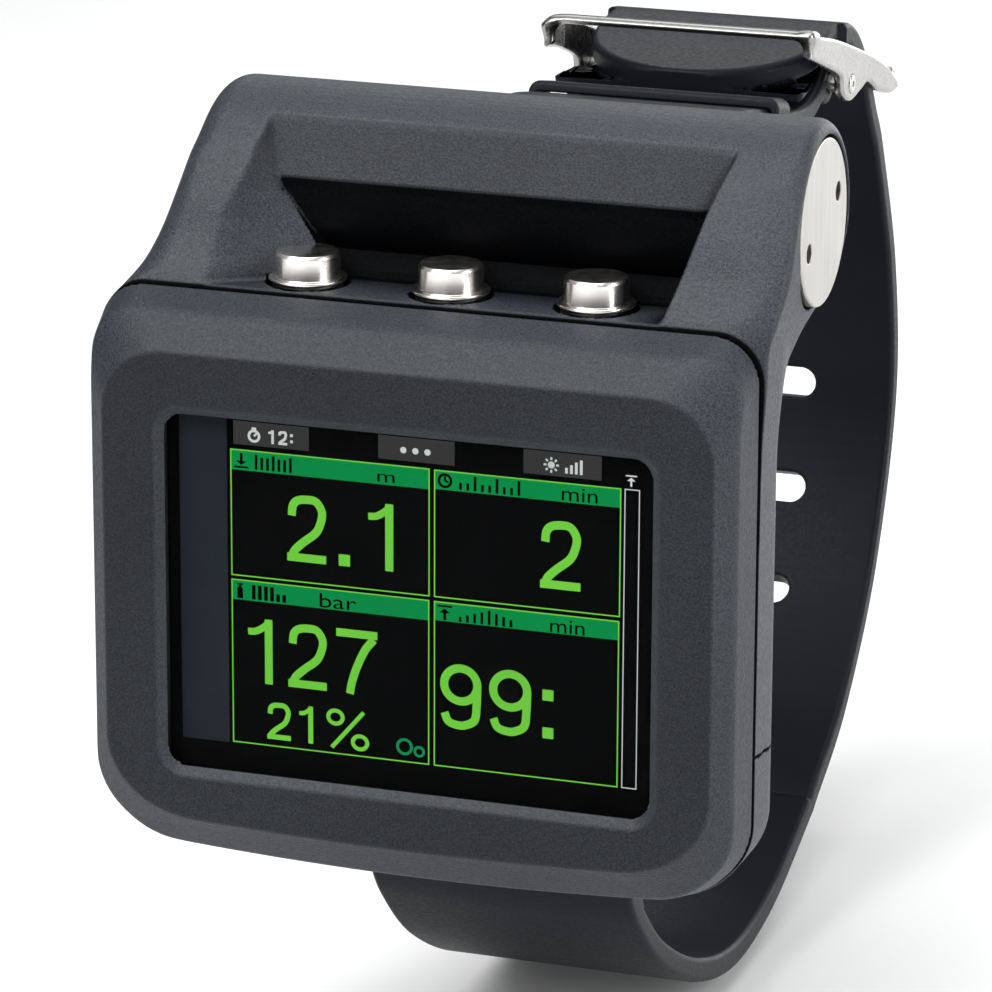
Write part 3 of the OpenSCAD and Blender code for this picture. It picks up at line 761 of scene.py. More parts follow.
# the pocket's side walls and depth at stations up its height
POCKET_OUTER = [(28.7, -22.6), (32.0, -22.2), (37.4, -21.0), (42.0, -19.9), (43.8, -19.2)]  # z, x
POCKET_INNER = [(28.6, -11.7), (32.0, -13.8), (34.1, -15.1), (36.0, -16.4),
                (36.9, -17.3), (40.3, -18.1), (43.6, -19.0)]                                # z, x
POCKET_RIGHT = [(28.3, 22.7), (33.5, 24.3), (38.5, 25.7), (43.8, 27.6)]                     # z, x
POCKET_MOUTH = [(28.0, -10.5), (28.9, -9.2), (31.0, -7.7), (34.4, -5.9),
                (36.4, -5.3), (40.0, -4.2), (44.6, -0.9), (48.0, 1.5)]                      # z, y
POCKET_BACK = [(28.0, -2.6), (30.0, -2.4), (33.0, -2.2), (36.0, -2.2), (37.6, -2.1),
               (38.2, -2.05), (41.0, -1.05), (43.75, -0.05), (48.0, 1.5)]                   # z, y


def at_height(z, stations):
    return np.interp(z, *zip(*stations))


def sampled_ear(pin, radius, root, low, high):
    """Strap ear: a disc round its pin joined to the case by a polygon."""
    return Sampled(lambda u, v: np.minimum(off_axis(u, v, pin) - radius, polygon(u, v, root)),
                   low, high, 0.12)


UPPER_EAR = sampled_ear(UPPER_PIN, 3.1, [
    (BARREL[0] + 6, BARREL[1] + 5), (UPPER_PIN[0] - 0.2, UPPER_PIN[1] + 3.09),
    (UPPER_PIN[0], UPPER_PIN[1] - 3.1), (BARREL[0] + 4, BARREL[1] - 9),
], (-12, 20), (27, 50))
LOWER_EAR = sampled_ear(LOWER_PIN, 3.3, [
    (LOWER_PIN[0] + 0.6, LOWER_PIN[1] + 3.24), (LOWER_PIN[0] - 0.8, LOWER_PIN[1] - 3.2),
    (-6, -HALF_HEIGHT + 0.6), (-4, -22), (-0.02, -24.4),
], (-12, -38), (15, -12))


def housing_solid(x, y, z, outline):
    body = round_max(outline, slab(y, SEAM_Y - 8, 0.0), 4.6)
    # the left end of the upper part is rounder than the right
    side, front = SIDE(y, z), FRONT(x, z)
    upper = np.where(x < 0, round_max(side, front, 2.8), round_max(side, front, 1.5))
    solid = soft_min(body, upper, 2.2)
    across = np.abs(x - STRAP_X)
    upper_ears = np.abs(across - (SHORT_HALF_WIDTH + 2.05)) - 1.7
    lower_ears = np.abs(across - (LONG_HALF_WIDTH + 2.15)) - 1.8
    solid = soft_min(solid, round_max(UPPER_EAR(y, z), upper_ears, 0.6), 1.6)
    solid = soft_min(solid, round_max(LOWER_EAR(y, z), lower_ears, 0.7), 2.0)
    # at the seam the outline is the bezel's, and it flares out behind it
    seam = case_rect(x, bowed(x, z) - 0.08, HALF_WIDTH + 0.02, 28.3, 4.5, 9.0)
    limit = (seam - np.maximum(y - SEAM_Y - 0.18, 0) * 1.9) * 0.466
    solid = soft_max(solid, limit, 0.2)
    return round_max(solid, (SEAM_Y + 0.18) - y, 0.10)


def pocket_field(x, y, z):
    """Button pocket; its left wall flares from the back to the mouth."""
    mouth, back = at_height(z, POCKET_MOUTH), at_height(z, POCKET_BACK)
    inward = np.clip((y - mouth) / np.maximum(back - mouth, 0.05), -0.4, 1.0)
    outer, inner = at_height(z, POCKET_OUTER), at_height(z, POCKET_INNER)
    left = outer + inward * (inner - outer)
    walls = soft_max((left - x) * 0.62, (x - at_height(z, POCKET_RIGHT)) * 0.93, 0.5)
    return soft_max(POCKET(y, z), walls, 0.45)


def housing_field(x, y, z):
    outline = case_rect(x, bowed(x, z), HALF_WIDTH, HALF_HEIGHT, 5.4, 8.8)
    solid = housing_solid(x, y, z, outline)
    solid = soft_max(solid, -pocket_field(x, y, z), 0.34)
    # counterbores round the buttons
    for centre_x, centre_y in BUTTON_CENTRES.values():
        bore = np.sqrt((x - centre_x) ** 2 + (y - centre_y) ** 2) - 3.95
        solid = cut(solid, np.maximum(bore, slab(z, DECK_Z - 1.25, DECK_Z + 0.5)), 0.1)
    # seat of the battery cap
    seat = np.maximum(off_axis(y, z, BARREL) - 8.3, (RIGHT_X - 3.2) - x)
    solid = cut(solid, seat, 0.15)
    # recess of the back cover
    recess = np.maximum(round_rect(x, z + 1.0, 27.08, 23.08, 5.0), -1.8 - y)
    solid = cut(solid, recess, 0.2)
    # electronics cavity and its opening to the back
    solid = cut(solid, np.maximum(electronics_cavity(x, z), y + 3.2))
    solid = cut(solid, np.maximum(round_rect(x, z + 1.0, 25.0, 21.0, 8.0), -4 - y))
    # parting line of the lower side
    line = np.abs(z + 12.8 + 0.1 * (y + 6)) - 0.09
    shallow = np.maximum(line, -(outline + 0.40))
    solid = cut(solid, np.maximum(shallow, slab(y, SEAM_Y, -3.9)))
    for pin in (UPPER_PIN, LOWER_PIN):
        solid = cut(solid, off_axis(y, z, pin) - 1.02)
    return solid


def housing_painted_shade(x, y, z, value):
    """Painted shade: darken the pocket below the panel between the shoulders, the panel a little,
    the seam gap.
    """
    inner = at_height(z, POCKET_INNER)
    pocket = (y > -4.2) & (y < 0.5) & (z > DECK_Z - 0.2) & (z < 38.35) & (x < 27.5)
    deep = (np.clip((y + 3.4) / 0.8, 0, 1) * np.clip((38.15 - z) / 0.35, 0, 1)
            * np.clip((x - inner - 0.05) / 0.35, 0, 1))
    value = np.where(pocket, np.maximum(value, 0.75 * deep), value)
    panel = (x > inner + 0.2) & (x < 27.0) & (z > 38.2) & (z < 43.6) & (y < 0.6) & (y > -2.6)
    value = np.where(panel, np.maximum(value, 0.20), value)
    return np.maximum(value, 0.95 * np.clip((SEAM_Y + 0.38 - y) / 0.18, 0, 1))


# painted shade: occlusion over the cavity reaches darkens the housing's recesses
housing = field_object("housing_shell", housing_field,
                       (-HALF_WIDTH - 0.6, SEAM_Y - 0.4, -35.2),
                       (RIGHT_X + 0.6, 24.3, BARREL[1] + BARREL_RADIUS + 0.6),
                       0.26, CASE, cavity=(0.8, 2.5, 5.5, 9.0))
repaint_shade(housing, housing_painted_shade)
fit(housing, "housing", "case", "rear_housing")


# ==== Window and screen panel ================================================================

def window_field(x, y, z):
    return round_max(round_rect(x, z + 0.6, 25.2, 19.0, 2.0), slab(y, GLASS_Y, GLASS_Y + 1.3),
                     0.15)


def panel_field(x, y, z):
    return round_max(round_rect(x, z + 0.6, 24.8, 18.6, 0.8), slab(y, PANEL_Y, PANEL_BACK_Y),
                     0.12)


window = field_object("window_pane", window_field, (-26, GLASS_Y - 0.4, -20.2),
                      (26, GLASS_Y + 1.8, 19.2), 0.22, GLASS)
fit(window, "housing", "lens", "window_lens")
window.visible_shadow = False

panel = field_object("screen_panel", panel_field, (-25.6, PANEL_Y - 0.4, -19.8),
                     (25.6, PANEL_BACK_Y + 0.4, 18.6), 0.3, PANEL)
fit(panel, "housing", "display", "display_module")


# ==== Push buttons and their return springs ==================================================

def push_button(side):
    node = "button_" + side
    low, high = box_mm(node)
    foot, top = low[2], high[2]
    flange = DECK_Z + 0.25
    profile = [  # radius, z
        # stem with a groove near its foot
        (0, foot), (1.34, foot), (1.46, foot + 0.05), (1.49, foot + 0.18), (1.49, 22.88),
        (1.47, 22.9), (1.17, 22.9), (1.15, 22.92), (1.15, 23.44), (1.17, 23.46),
        (1.47, 23.46), (1.49, 23.48), (1.49, flange - 0.03), (1.52, flange),
        # flange with a rounded rim
        (3.60, flange), *arc((3.63, flange + 0.13), 0.13, (-90, -67.5, -45, -22.5, 0)),
        *arc((3.63, flange + 0.25), 0.13, range(0, 81, 20)),
        (3.45, flange + 0.39), (3.17, flange + 0.39), (3.11, flange + 0.42),
        # head
        (3.09, flange + 0.48), (3.09, top - 0.33), (3.07, top - 0.30), (2.93, top - 0.07),
        (2.88, top - 0.02), (2.82, top), (1.2, top), (0, top)]
    ob = lathe("push_button_" + side, profile, BUTTON_CENTRES[side], BUTTON)
    fit(ob, node + "_body", "button", node)


def return_spring(side):
    """Flat wire coil that fills the height of the spring part."""
    inner, outer, wire, turns, steps = 2.62, 3.38, 0.17, 3, 216
    low, high = box_mm("spring_" + side)
    centre_x, centre_y, _ = (low + high) / 2
    bottom, top = low[2] + 0.02, high[2] - 0.02
    section = ((inner, -wire / 2), (outer, -wire / 2), (outer, wire / 2), (inner, wire / 2))
    points, faces = [], []
    for k in range(steps + 1):
        angle = 2 * turns * math.pi * k / steps
        height = bottom + wire / 2 + (top - bottom - wire) * k / steps
        for radius, rise in section:
            points.append((centre_x + radius * math.cos(angle),
                           centre_y + radius * math.sin(angle), height + rise))
        if k:
            back = 4 * (k - 1)
            faces += [[back + i, back + 4 + i, back + 4 + (i + 1) % 4, back + (i + 1) % 4]
                      for i in range(4)]
    end = 4 * steps
    faces += [[0, 1, 2, 3], [end + 3, end + 2, end + 1, end]]
    ob = mesh_object("return_spring_" + side, points, np.array(faces), None, SPRING)
    ob.data.set_sharp_from_angle(angle=math.radians(30))
    fit(ob, "housing", "spring", "spring_" + side)
    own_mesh(ob)


for side in SIDES:
    push_button(side)
for side in SIDES:
    return_spring(side)


# ==== Battery cap: a disc and a narrower plug, with two blind holes in its face ==============

def cap_field(x, y, z):
    radius = off_axis(y, z, BARREL)
    solid = round_max(radius - 8.0, slab(x, RIGHT_X - 3.1, RIGHT_X - 0.12), 0.16)
    plug = round_max(radius - 7.2, slab(x, RIGHT_X - 5.9, RIGHT_X - 3.0), 0.2)
    solid = np.minimum(solid, plug)
    tilt = math.radians(21.4)
    for side in (-1, 1):
        hole = (BARREL[0] + side * 5.25 * math.cos(tilt), BARREL[1] + side * 5.25 * math.sin(tilt))
        solid = cut(solid, np.maximum(off_axis(y, z, hole) - 0.92, (RIGHT_X - 1.9) - x), 0.1)
    return solid


cap = field_object("battery_cap_disc", cap_field,
                   (RIGHT_X - 6.3, BARREL[0] - 8.6, BARREL[1] - 8.6),
                   (RIGHT_X + 0.3, BARREL[0] + 8.6, BARREL[1] + 8.6), 0.15,
                   turned_metal("cap_steel", (RIGHT_X * MM, BARREL[0] * MM, BARREL[1] * MM)))
fit(cap, "housing", "cap", "battery_cap")


# ==== Long strap =============================================================================

# (y, z) path of the long strap from the lower pin round to its tail
LONG_PATH = curve([
    (8, -34.1), (11.8, -39.4), (20.1, -46.6), (33, -53.3), (47, -56.8), (61.4, -55.4),
    (76.1, -50.4), (79.1, -49.0), (91.2, -42.2), (103.6, -28.9), (110.9, -10.5), (109.1, 5.8),
    (102.2, 20.8), (98.2, 26.6), (94.6, 31.8), (90.8, 35.6), (87, 37.7), (83.5, 38.3),
    (79.8, 38.0), (75.6, 37.2), (71, 36.5), (65.8, 35.9)], 12)
LONG_BAND = sampled_outline(thicken(LONG_PATH, STRAP_THICKNESS), (2, -60), (114, 42), 0.16)

SLOT_COUNT = 8
SLOT_PITCH = 12.8
SLOT_ORIGIN = np.array([79.1, -49.0])   # the point on the path that slots are measured from
LAST_SLOT = 104.2                       # distance along the path from there to the last slot


def strap_slots():
    """Centre and direction of each adjusting slot along the path."""
    steps = np.linalg.norm(np.diff(LONG_PATH, axis=0), axis=1)
    length = np.r_[0, np.cumsum(steps)]
    directions = unit(np.gradient(LONG_PATH, axis=0))
    start = length[int(np.argmin(np.linalg.norm(LONG_PATH - SLOT_ORIGIN, axis=1)))]
    slots = []
    for k in range(SLOT_COUNT):
        distance = start + LAST_SLOT - SLOT_PITCH * k
        j = int(np.searchsorted(length, distance)) - 1
        part = (distance - length[j]) / (length[j + 1] - length[j])
        slots.append((LONG_PATH[j] + part * (LONG_PATH[j + 1] - LONG_PATH[j]), directions[j]))
    return slots


SLOTS = strap_slots()


def long_strap_field(x, y, z):
    across = x - STRAP_X
    half_width = LONG_HALF_WIDTH - 0.5 * np.clip((y - 60) / 45.0, 0, 1)
    solid = round_max(LONG_BAND(y, z), np.abs(across) - half_width, 0.62)
    # rounded tail
    round_end = np.sqrt(across ** 2 + np.minimum(y - 78.6, 0) ** 2) - 12.8
    tail = np.where(z > 34.2, round_end, -5.0)
    solid = np.where((y < 84) & (z > 30), round_max(solid, tail, 0.7), solid)
    for centre, way in SLOTS:
        along = (y - centre[0]) * way[0] + (z - centre[1]) * way[1]
        through = -(y - centre[0]) * way[1] + (z - centre[1]) * way[0]
        slot = np.sqrt(np.maximum(np.abs(across) - 2.4, 0) ** 2 + along ** 2) - 1.72
        solid = cut(solid, np.maximum(slot, np.abs(through - 1.3) - 5.0), 0.3)
    return solid


long_strap = field_object("long_strap", long_strap_field,
                          (STRAP_X - LONG_HALF_WIDTH - 0.8, 5, -58.4),
                          (STRAP_X + LONG_HALF_WIDTH + 0.8, 112.2, 39.4), 0.32, STRAP)
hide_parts("long_strap_rear", "long_strap_front")
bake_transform(long_strap)

# (y, z) neck between the long strap and its eye round the lower pin
EYE_NECK = [(LOWER_PIN[0] - 2.6, LOWER_PIN[1] - 1.45), (7.9, -34.15), (12.3, -39.9),
            (14.4, -38.1), (LOWER_PIN[0] + 2.75, LOWER_PIN[1] - 1.0)]
EYE = Sampled(lambda u, v: soft_min(off_axis(u, v, LOWER_PIN) - 2.9,
                                    polygon(u, v, EYE_NECK), 1.2),
              (2, -44), (18, -24), 0.1)


def eye_field(x, y, z):
    solid = round_max(EYE(y, z), np.abs(x - STRAP_X) - LONG_HALF_WIDTH + 0.02, 0.62)
    return cut(solid, off_axis(y, z, LOWER_PIN) - 1.28)


eye = field_object("long_strap_eye", eye_field, (STRAP_X - LONG_HALF_WIDTH - 0.6, 4, -41.2),
                   (STRAP_X + LONG_HALF_WIDTH + 0.6, 16, -26.6), 0.25, STRAP)
fit(eye, "long_strap_body", "strap")


# ==== Short strap with an eye at each end, and its keeper loop ===============================

# (y, z) path of the upper face, from the case to the buckle
SHORT_PATH = curve([(20.5, 36.1), (27, 37.0), (36, 37.2), (48, 36.2), (58, 34.2), (66, 32.4),
                    (73, 31.9), (78, 33.4), (80.5, 34.9)], 12)
SHORT_BAND = thicken(SHORT_PATH, -STRAP_THICKNESS)


def short_outline(u, v):
    band = polygon(u, v, SHORT_BAND)
    band = soft_min(band, off_axis(u, v, UPPER_PIN) - 2.6, 1.0)
    return soft_min(band, off_axis(u, v, BUCKLE_PIN) - 2.4, 0.8)


SHORT = Sampled(short_outline, (15, 26), (86, 41), 0.1)


def short_strap_field(x, y, z):
    across = np.abs(x - STRAP_X)
    solid = round_max(SHORT(y, z), across - SHORT_HALF_WIDTH, 0.6)
    for pin in (UPPER_PIN, BUCKLE_PIN):
        solid = cut(solid, off_axis(y, z, pin) - PIN_HOLE_RADIUS)
    # notch for the buckle tongue
    return cut(solid, np.maximum(across - 2.6, (BUCKLE_PIN[0] - 3.4) - y), 0.3)


short_strap = field_object("short_strap_band", short_strap_field,
                           (STRAP_X - SHORT_HALF_WIDTH - 0.6, 17, 28.2),
                           (STRAP_X + SHORT_HALF_WIDTH + 0.6, 83.8, 38.6), 0.28, STRAP)
fit(short_strap, "short_strap_body", "strap", "short_strap")

KEEPER_Y, KEEPER_Z = 59.4, 32.6
KEEPER_TILT = math.radians(-12)


def keeper_field(x, y, z):
    across = x - STRAP_X
    cosine, sine = math.cos(KEEPER_TILT), math.sin(KEEPER_TILT)
    along = (y - KEEPER_Y) * cosine + (z - KEEPER_Z) * sine
    height = -(y - KEEPER_Y) * sine + (z - KEEPER_Z) * cosine
    outer = round_rect(across, height + 0.1, 13.7, 2.6, 1.3)
    inner = round_rect(across, height + 0.15, 12.9, 1.5, 0.5)
    return cut(round_max(outer, np.abs(along) - 2.5, 0.5), inner, 0.25)


keeper = field_object("keeper_loop", keeper_field, (STRAP_X - 14.2, 55.9, 28.4),
                      (STRAP_X + 14.2, 62.9, 36.8), 0.2, STRAP)
fit(keeper, "keeper_body", "strap", "keeper")


# ==== Buckle: frame, tongue and the pins =====================================================

# (y, z) outline of a side arm: upper edge, then lower edge
ARM = sampled_outline(np.vstack([
    curve([(64.6, 40.9), (74, 38.7), (83.4, 35.9), (91, 33.4), (96.3, 31.2), (100.2, 28.9)], 8),
    curve([(100.4, 28.0), (97.4, 28.0), (92.2, 29.4), (88, 31.2), (84.4, 30.9), (80.5, 30.6),
           (77.4, 32.0), (76.4, 34.1), (71.5, 36.0), (64.4, 38.4)], 8),
]), (60, 24), (104, 45), 0.08)
# (y, z) section of the front bar, a slanted ellipse
FRONT_BAR = sampled_outline([
    (65.4 + 1.35 * math.cos(math.radians(a)),
     40.62 + 0.52 * math.sin(math.radians(a)) - 0.12 * math.cos(math.radians(a)))
    for a in range(0, 360, 12)], (60, 34), (74, 46), 0.06)
REAR_BAR = (99.9, 29.3)     # y, z
ARM_X = 14.1                # inner face of an arm, from the strap's middle


def buckle_field(x, y, z):
    across = np.abs(x - STRAP_X)
    # the left end of the front bar turns in and down in a round corner
    turn = np.where(x < STRAP_X, np.clip((71.0 - y) / 6.0, 0, 1), 0.0)
    across = across + 0.8 * turn
    height = z + 0.9 * turn * np.clip((across - 12.6) / 2.6, 0, 1) ** 2
    arms = round_max(ARM(y, height), np.abs(across - ARM_X - 0.55) - 0.55, 0.42)
    front = round_max(FRONT_BAR(y, height), across - (ARM_X + 1.1), 0.4)
    rear = round_max(off_axis(y, z, REAR_BAR) - 1.1, across - (ARM_X + 0.6), 0.3)
    solid = soft_min(soft_min(arms, front, 1.3), rear, 0.8)
    return cut(solid, off_axis(y, z, BUCKLE_PIN) - 1.0)


buckle = field_object("buckle_body_frame", buckle_field, (STRAP_X - 15.6, 63.0, 27.6),
                      (STRAP_X + 15.6, 101.6, 41.7), 0.14, BUCKLE)
fit(buckle, "buckle_body", "buckle", "buckle_frame")

# (y, z) path of the tongue's upper face, from its pin to its tip
TONGUE_BAND = thicken(curve([(80.5, 34.5), (83.5, 33.5), (86.6, 33.5), (89.6, 35.0),
                             (92.4, 36.2), (95.8, 35.3), (98.8, 32.9), (101, 31.4)], 8), -1.0)
TONGUE = Sampled(lambda u, v: soft_min(polygon(u, v, TONGUE_BAND),
                                       off_axis(u, v, BUCKLE_PIN) - 2.1, 0.5),
                 (76, 28), (104, 40), 0.06)


def tongue_field(x, y, z):
    half_width = 1.5 + 0.6 * np.clip((84.0 - y) / 2.0, 0, 1)
    solid = round_max(TONGUE(y, z), np.abs(x - STRAP_X) - half_width, 0.35)
    return cut(solid, off_axis(y, z, BUCKLE_PIN) - PIN_HOLE_RADIUS)


tongue = field_object("buckle_tongue_bar", tongue_field, (STRAP_X - 2.5, 77.8, 29.8),
                      (STRAP_X + 2.5, 101.9, 38.0), 0.14, BUCKLE)
fit(tongue, "tongue_body", "buckle", "buckle_tongue")


def pin(name, replaced, body, axis, half_length):
    """Round pin along X with a shallow blind hole in each end."""
    def pin_field(x, y, z):
        radius = off_axis(y, z, axis)
        across = np.abs(x - STRAP_X)
        solid = round_max(radius - 0.98, across - half_length, 0.25)
        return cut(solid, np.maximum(radius - 0.35, half_length - 0.5 - across))

    ob = field_object(name, pin_field,
                      (STRAP_X - half_length - 0.3, axis[0] - 1.3, axis[1] - 1.3),
                      (STRAP_X + half_length + 0.3, axis[0] + 1.3, axis[1] + 1.3), 0.12, STEEL)
    fit(ob, body, "steel", replaced)


pin("strap_pin_upper", "upper_strap_pin", "housing", UPPER_PIN, half_length=16.2)
pin("strap_pin_lower", "lower_strap_pin", "housing", LOWER_PIN, half_length=17.2)
pin("buckle_pivot_pin", "buckle_pin", "buckle_body", BUCKLE_PIN, half_length=15.4)


# ==== Materials of the frame's own pieces; those not listed get the case plastic =============

OWN_MATERIALS = [
    (COVER, ("back_cover", "sensor_cover")),
    (SEAL, ("lens_gasket", "case_gasket", "button_orings", "battery_cap_oring")),
    (TRAY, ("display_holder",)),
    (BOARD, ("main_board",)),
    (CHIP, ("board_components",)),
    (FLEX, ("switch_board",)),
    (STEEL, ("tactile_switches", "pressure_sensor", "case_screws")),
    (SLEEVE, ("battery_cell",)),
    (SPRING, ("battery_spring", "clip_left", "clip_center", "clip_right")),
    (BRONZE, ("button_bushings", "buzzer")),
    (COPPER, ("receiver_coil",)),
]
material_of = {name: material for material, names in OWN_MATERIALS for name in names}
for name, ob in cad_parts.items():
    ob.data.materials.clear()
    ob.data.materials.append(material_of.get(name, CASE))


# ==== What the screen shows ==================================================================

HEADER = lit_screen("screen_header", color=(0.004, 0.265, 0.062), strength=1.1)
GREEN = lit_screen("screen_green", color=(0.165, 0.60, 0.055), strength=1.12)
WHITE = lit_screen("screen_white", color=(0.75, 0.78, 0.78), strength=0.9)
TEAL = lit_screen("screen_teal", color=(0.01, 0.30, 0.10), strength=0.9)
INK = plain("screen_ink", dark=(0.0006, 0.0006, 0.0006), light=(0.0012, 0.0012, 0.0012),
            roughness=0.6, gloss=0.0)

# The layout below is drawn on the plane y = LAYOUT_Y and carried along one slanted direction
# to the panel; the graphics lie just in front of it.
LAYOUT_Y = -14.0
SHIFT_X = -0.344 * (PANEL_Y - LAYOUT_Y)
SHIFT_Z = -0.316 * (PANEL_Y - LAYOUT_Y)
GRAPHICS_Y = PANEL_Y - 0.05


def flat_shapes(name, shapes, material, lift):
    """Shapes are lists of (x, z) corners; a repeated last corner is dropped."""
    points, faces = [], []
    for shape in shapes:
        if shape[0] == shape[-1]:
            shape = shape[:-1]
        faces.append(list(range(len(points), len(points) + len(shape))))
        points += [((x + SHIFT_X) * MM, (GRAPHICS_Y - lift) * MM, (z + SHIFT_Z) * MM)
                   for x, z in shape]
    mesh = bpy.data.meshes.new(name)
    mesh.from_pydata(points, [], faces)
    mesh.validate()
    mesh.update()
    fit(add_object(name, mesh, material), "housing", "display")


def words(name, text, x, z, height, width, material, lift):
    """Text converted to a flat mesh of a given width."""
    font = bpy.data.curves.new(name, "FONT")
    font.body = text
    font.size = height * MM / 0.70
    font.align_y = "BOTTOM_BASELINE"
    font.resolution_u = 8
    source = add_object(name, font)
    bpy.context.view_layer.update()
    evaluated = source.evaluated_get(bpy.context.evaluated_depsgraph_get())
    mesh = bpy.data.meshes.new_from_object(evaluated)
    bpy.data.objects.remove(source)
    bpy.data.curves.remove(font)
    drawn_x, drawn_z, _ = points_mm(mesh).T
    left = drawn_x.min()
    stretch = width / (drawn_x.max() - left)
    placed = np.stack([x + SHIFT_X + (drawn_x - left) * stretch,
                       np.full(len(drawn_x), GRAPHICS_Y - lift), z + SHIFT_Z + drawn_z], 1) * MM
    mesh.vertices.foreach_set("co", placed.astype(np.float32).ravel())
    mesh.update()
    mesh.materials.clear()
    fit(add_object(name, mesh, material), "housing", "display")


# ---- Shapes to draw with --------------------------------------------------------------------

def rect(left, right, bottom, top):
    return [(left, bottom), (right, bottom), (right, top), (left, top)]


def outline(left, right, bottom, top, pen):
    return [rect(left, right, bottom, bottom + pen), rect(left, right, top - pen, top),
            rect(left, left + pen, bottom + pen, top - pen),
            rect(right - pen, right, bottom + pen, top - pen)]


def ribbon(points, pen, steps=8, closed=False, smooth=True):
    path = curve(points, steps, closed) if smooth else np.array(points, float)
    if closed:
        way = np.roll(path, -1, 0) - np.roll(path, 1, 0)
    else:
        way = np.gradient(path, axis=0)
    sideways = left_of(unit(way)) * pen / 2
    left, right = path + sideways, path - sideways
    count = len(path)
    pairs = [(i, (i + 1) % count) for i in range(count if closed else count - 1)]
    return [[tuple(right[i]), tuple(right[j]), tuple(left[j]), tuple(left[i])]
            for i, j in pairs]


def oval(centre_x, centre_z, radius_x, radius_z, count=20):
    turns = [2 * math.pi * k / count for k in range(count)]
    return [(centre_x + radius_x * math.cos(a), centre_z + radius_z * math.sin(a))
            for a in turns]


def ring(centre_x, centre_z, radius_x, radius_z, pen):
    return ribbon(oval(centre_x, centre_z, radius_x, radius_z), pen, 3, closed=True)


def disc(centre_x, centre_z, radius, count=16):
    rim = oval(centre_x, centre_z, radius, radius, count)
    middle_point = (centre_x, centre_z)
    return [[middle_point, rim[k], rim[(k + 1) % count], middle_point] for k in range(count)]


def line(start_x, start_z, end_x, end_z, pen):
    return ribbon([(start_x, start_z), (end_x, end_z)], pen, smooth=False)


def ticks(x, z, heights, pitch, width):
    """Row of upright bars."""
    return [rect(x + i * pitch, x + i * pitch + width, z, z + height)
            for i, height in enumerate(heights)]


def figure(char, x, z, width, height, pen):
    """Strokes of one character in a box; stroke points are fractions of the box."""
    half_x, half_z = pen / width / 2, pen / height / 2
    right, top = x + width, z + height

    def stroke(points, weight=pen, steps=8):
        return ribbon([(x + u * width, z + v * height) for u, v in points], weight, steps)

    if char == "2":
        return stroke([
            (half_x + 0.02, 0.68), (0.11 + half_x * 0.4, 0.83), (0.27, 0.93 - half_z * 0.3),
            (0.5, 1 - half_z), (0.74, 0.93 - half_z * 0.2), (1 - half_x * 1.1, 0.77),
            (1 - half_x * 1.5, 0.60), (0.72, 0.45), (0.42, 0.30), (0.20, 0.17),
            (half_x + 0.02, half_z)]) + [rect(x, x + width * 0.99, z, z + pen)]
    if char == "1":
        flag = [(0.0, 0.79), (0.30, 0.80), (0.55, 0.85), (0.80, 0.985 - half_z)]
        return [rect(right - pen, right, z, top)] + stroke(flag, pen * 0.86, 6)
    if char == "7":
        return [rect(x, right, top - pen, top)] + stroke([
            (1 - half_x * 0.9, 1 - 2 * half_z), (0.70, 0.70), (0.50, 0.42), (0.38, 0.18),
            (0.33, 0.0)])
    if char == "9":
        return ring(x + width * 0.5, z + height * 0.685, width * (0.5 - half_x),
                    height * (0.315 - half_z), pen) + stroke([
            (1 - half_x, 0.67), (1 - half_x * 1.15, 0.40), (0.84, 0.17), (0.62, half_z * 1.2),
            (0.42, half_z), (0.20, 0.11), (half_x * 1.1, 0.24)])
    if char == "%":
        thin = pen * 0.82
        shapes = []
        for part in (0, 1):
            shapes += ring(x + width * (0.21, 0.79)[part], z + height * (0.80, 0.20)[part],
                           width * 0.17, height * 0.17, thin)
        return shapes + stroke([(0.12, 0.0), (0.50, 0.5), (0.88, 1.0)], thin)
    return [rect(x, right, z, top)]     # a full stop fills its box


# ---- Pictograms, each in a square of a given size with its lower left corner at x, z --------

def clock(x, z, size, pen):
    half = size / 2
    return (ring(x + half, z + half, half - pen / 2, half - pen / 2, pen)
            + line(x + half, z + half, x + half, z + size * 0.80, pen * 0.8)
            + line(x + half, z + half, x + size * 0.74, z + size * 0.42, pen * 0.8))


def stopwatch(x, z, size, pen):
    half = size / 2 * 0.86
    return (ring(x + half, z + half, half - pen / 2, half - pen / 2, pen)
            + line(x + half, z + half, x + half * 1.45, z + half * 1.45, pen * 0.8)
            + [rect(x + half - pen * 0.9, x + half + pen * 0.9, z + size - pen * 1.1, z + size)])


def arrow_down(x, z, size, pen):
    half = size / 2
    wing = z + size * 0.48
    return (line(x + half, z + size, x + half, z + size * 0.42, pen)
            + [[(x + half * 0.25, wing), (x + half, z + pen * 1.1), (x + half * 1.75, wing)]]
            + [rect(x, x + size, z, z + pen * 0.7)])


def arrow_up(x, z, size, pen):
    half = size / 2
    wing = z + size * 0.48
    top = z + size
    return (line(x + half, z, x + half, z + size * 0.55, pen)
            + [[(x + half * 1.75, wing), (x + half, top - pen * 1.1), (x + half * 0.25, wing)]]
            + [rect(x, x + size, top - pen * 0.7, top)])


def bottle(x, z, size):
    half = size * 0.30
    return ([rect(x + half * 0.35, x + half * 1.65, z, z + size * 0.60)]
            + disc(x + half, z + size * 0.60, half * 0.65)
            + [rect(x + half * 0.75, x + half * 1.25, z + size * 0.70, z + size * 0.92),
               rect(x + half * 0.3, x + half * 1.7, z + size * 0.90, z + size)])


def sun(x, z, size, pen):
    half = size / 2
    shapes = disc(x + half, z + half, half * 0.46)
    for i in range(8):
        cosine, sine = math.cos(math.pi * i / 4), math.sin(math.pi * i / 4)
        shapes += line(x + half + cosine * half * 0.64, z + half + sine * half * 0.64,
                       x + half + cosine * half, z + half + sine * half, pen * 0.75)
    return shapes


def dots(x, z, size):
    half = size / 2
    return [shape for offset in (0.6, 2.2, 3.8)
            for shape in disc(x + half * offset, z + half, half * 0.42)]


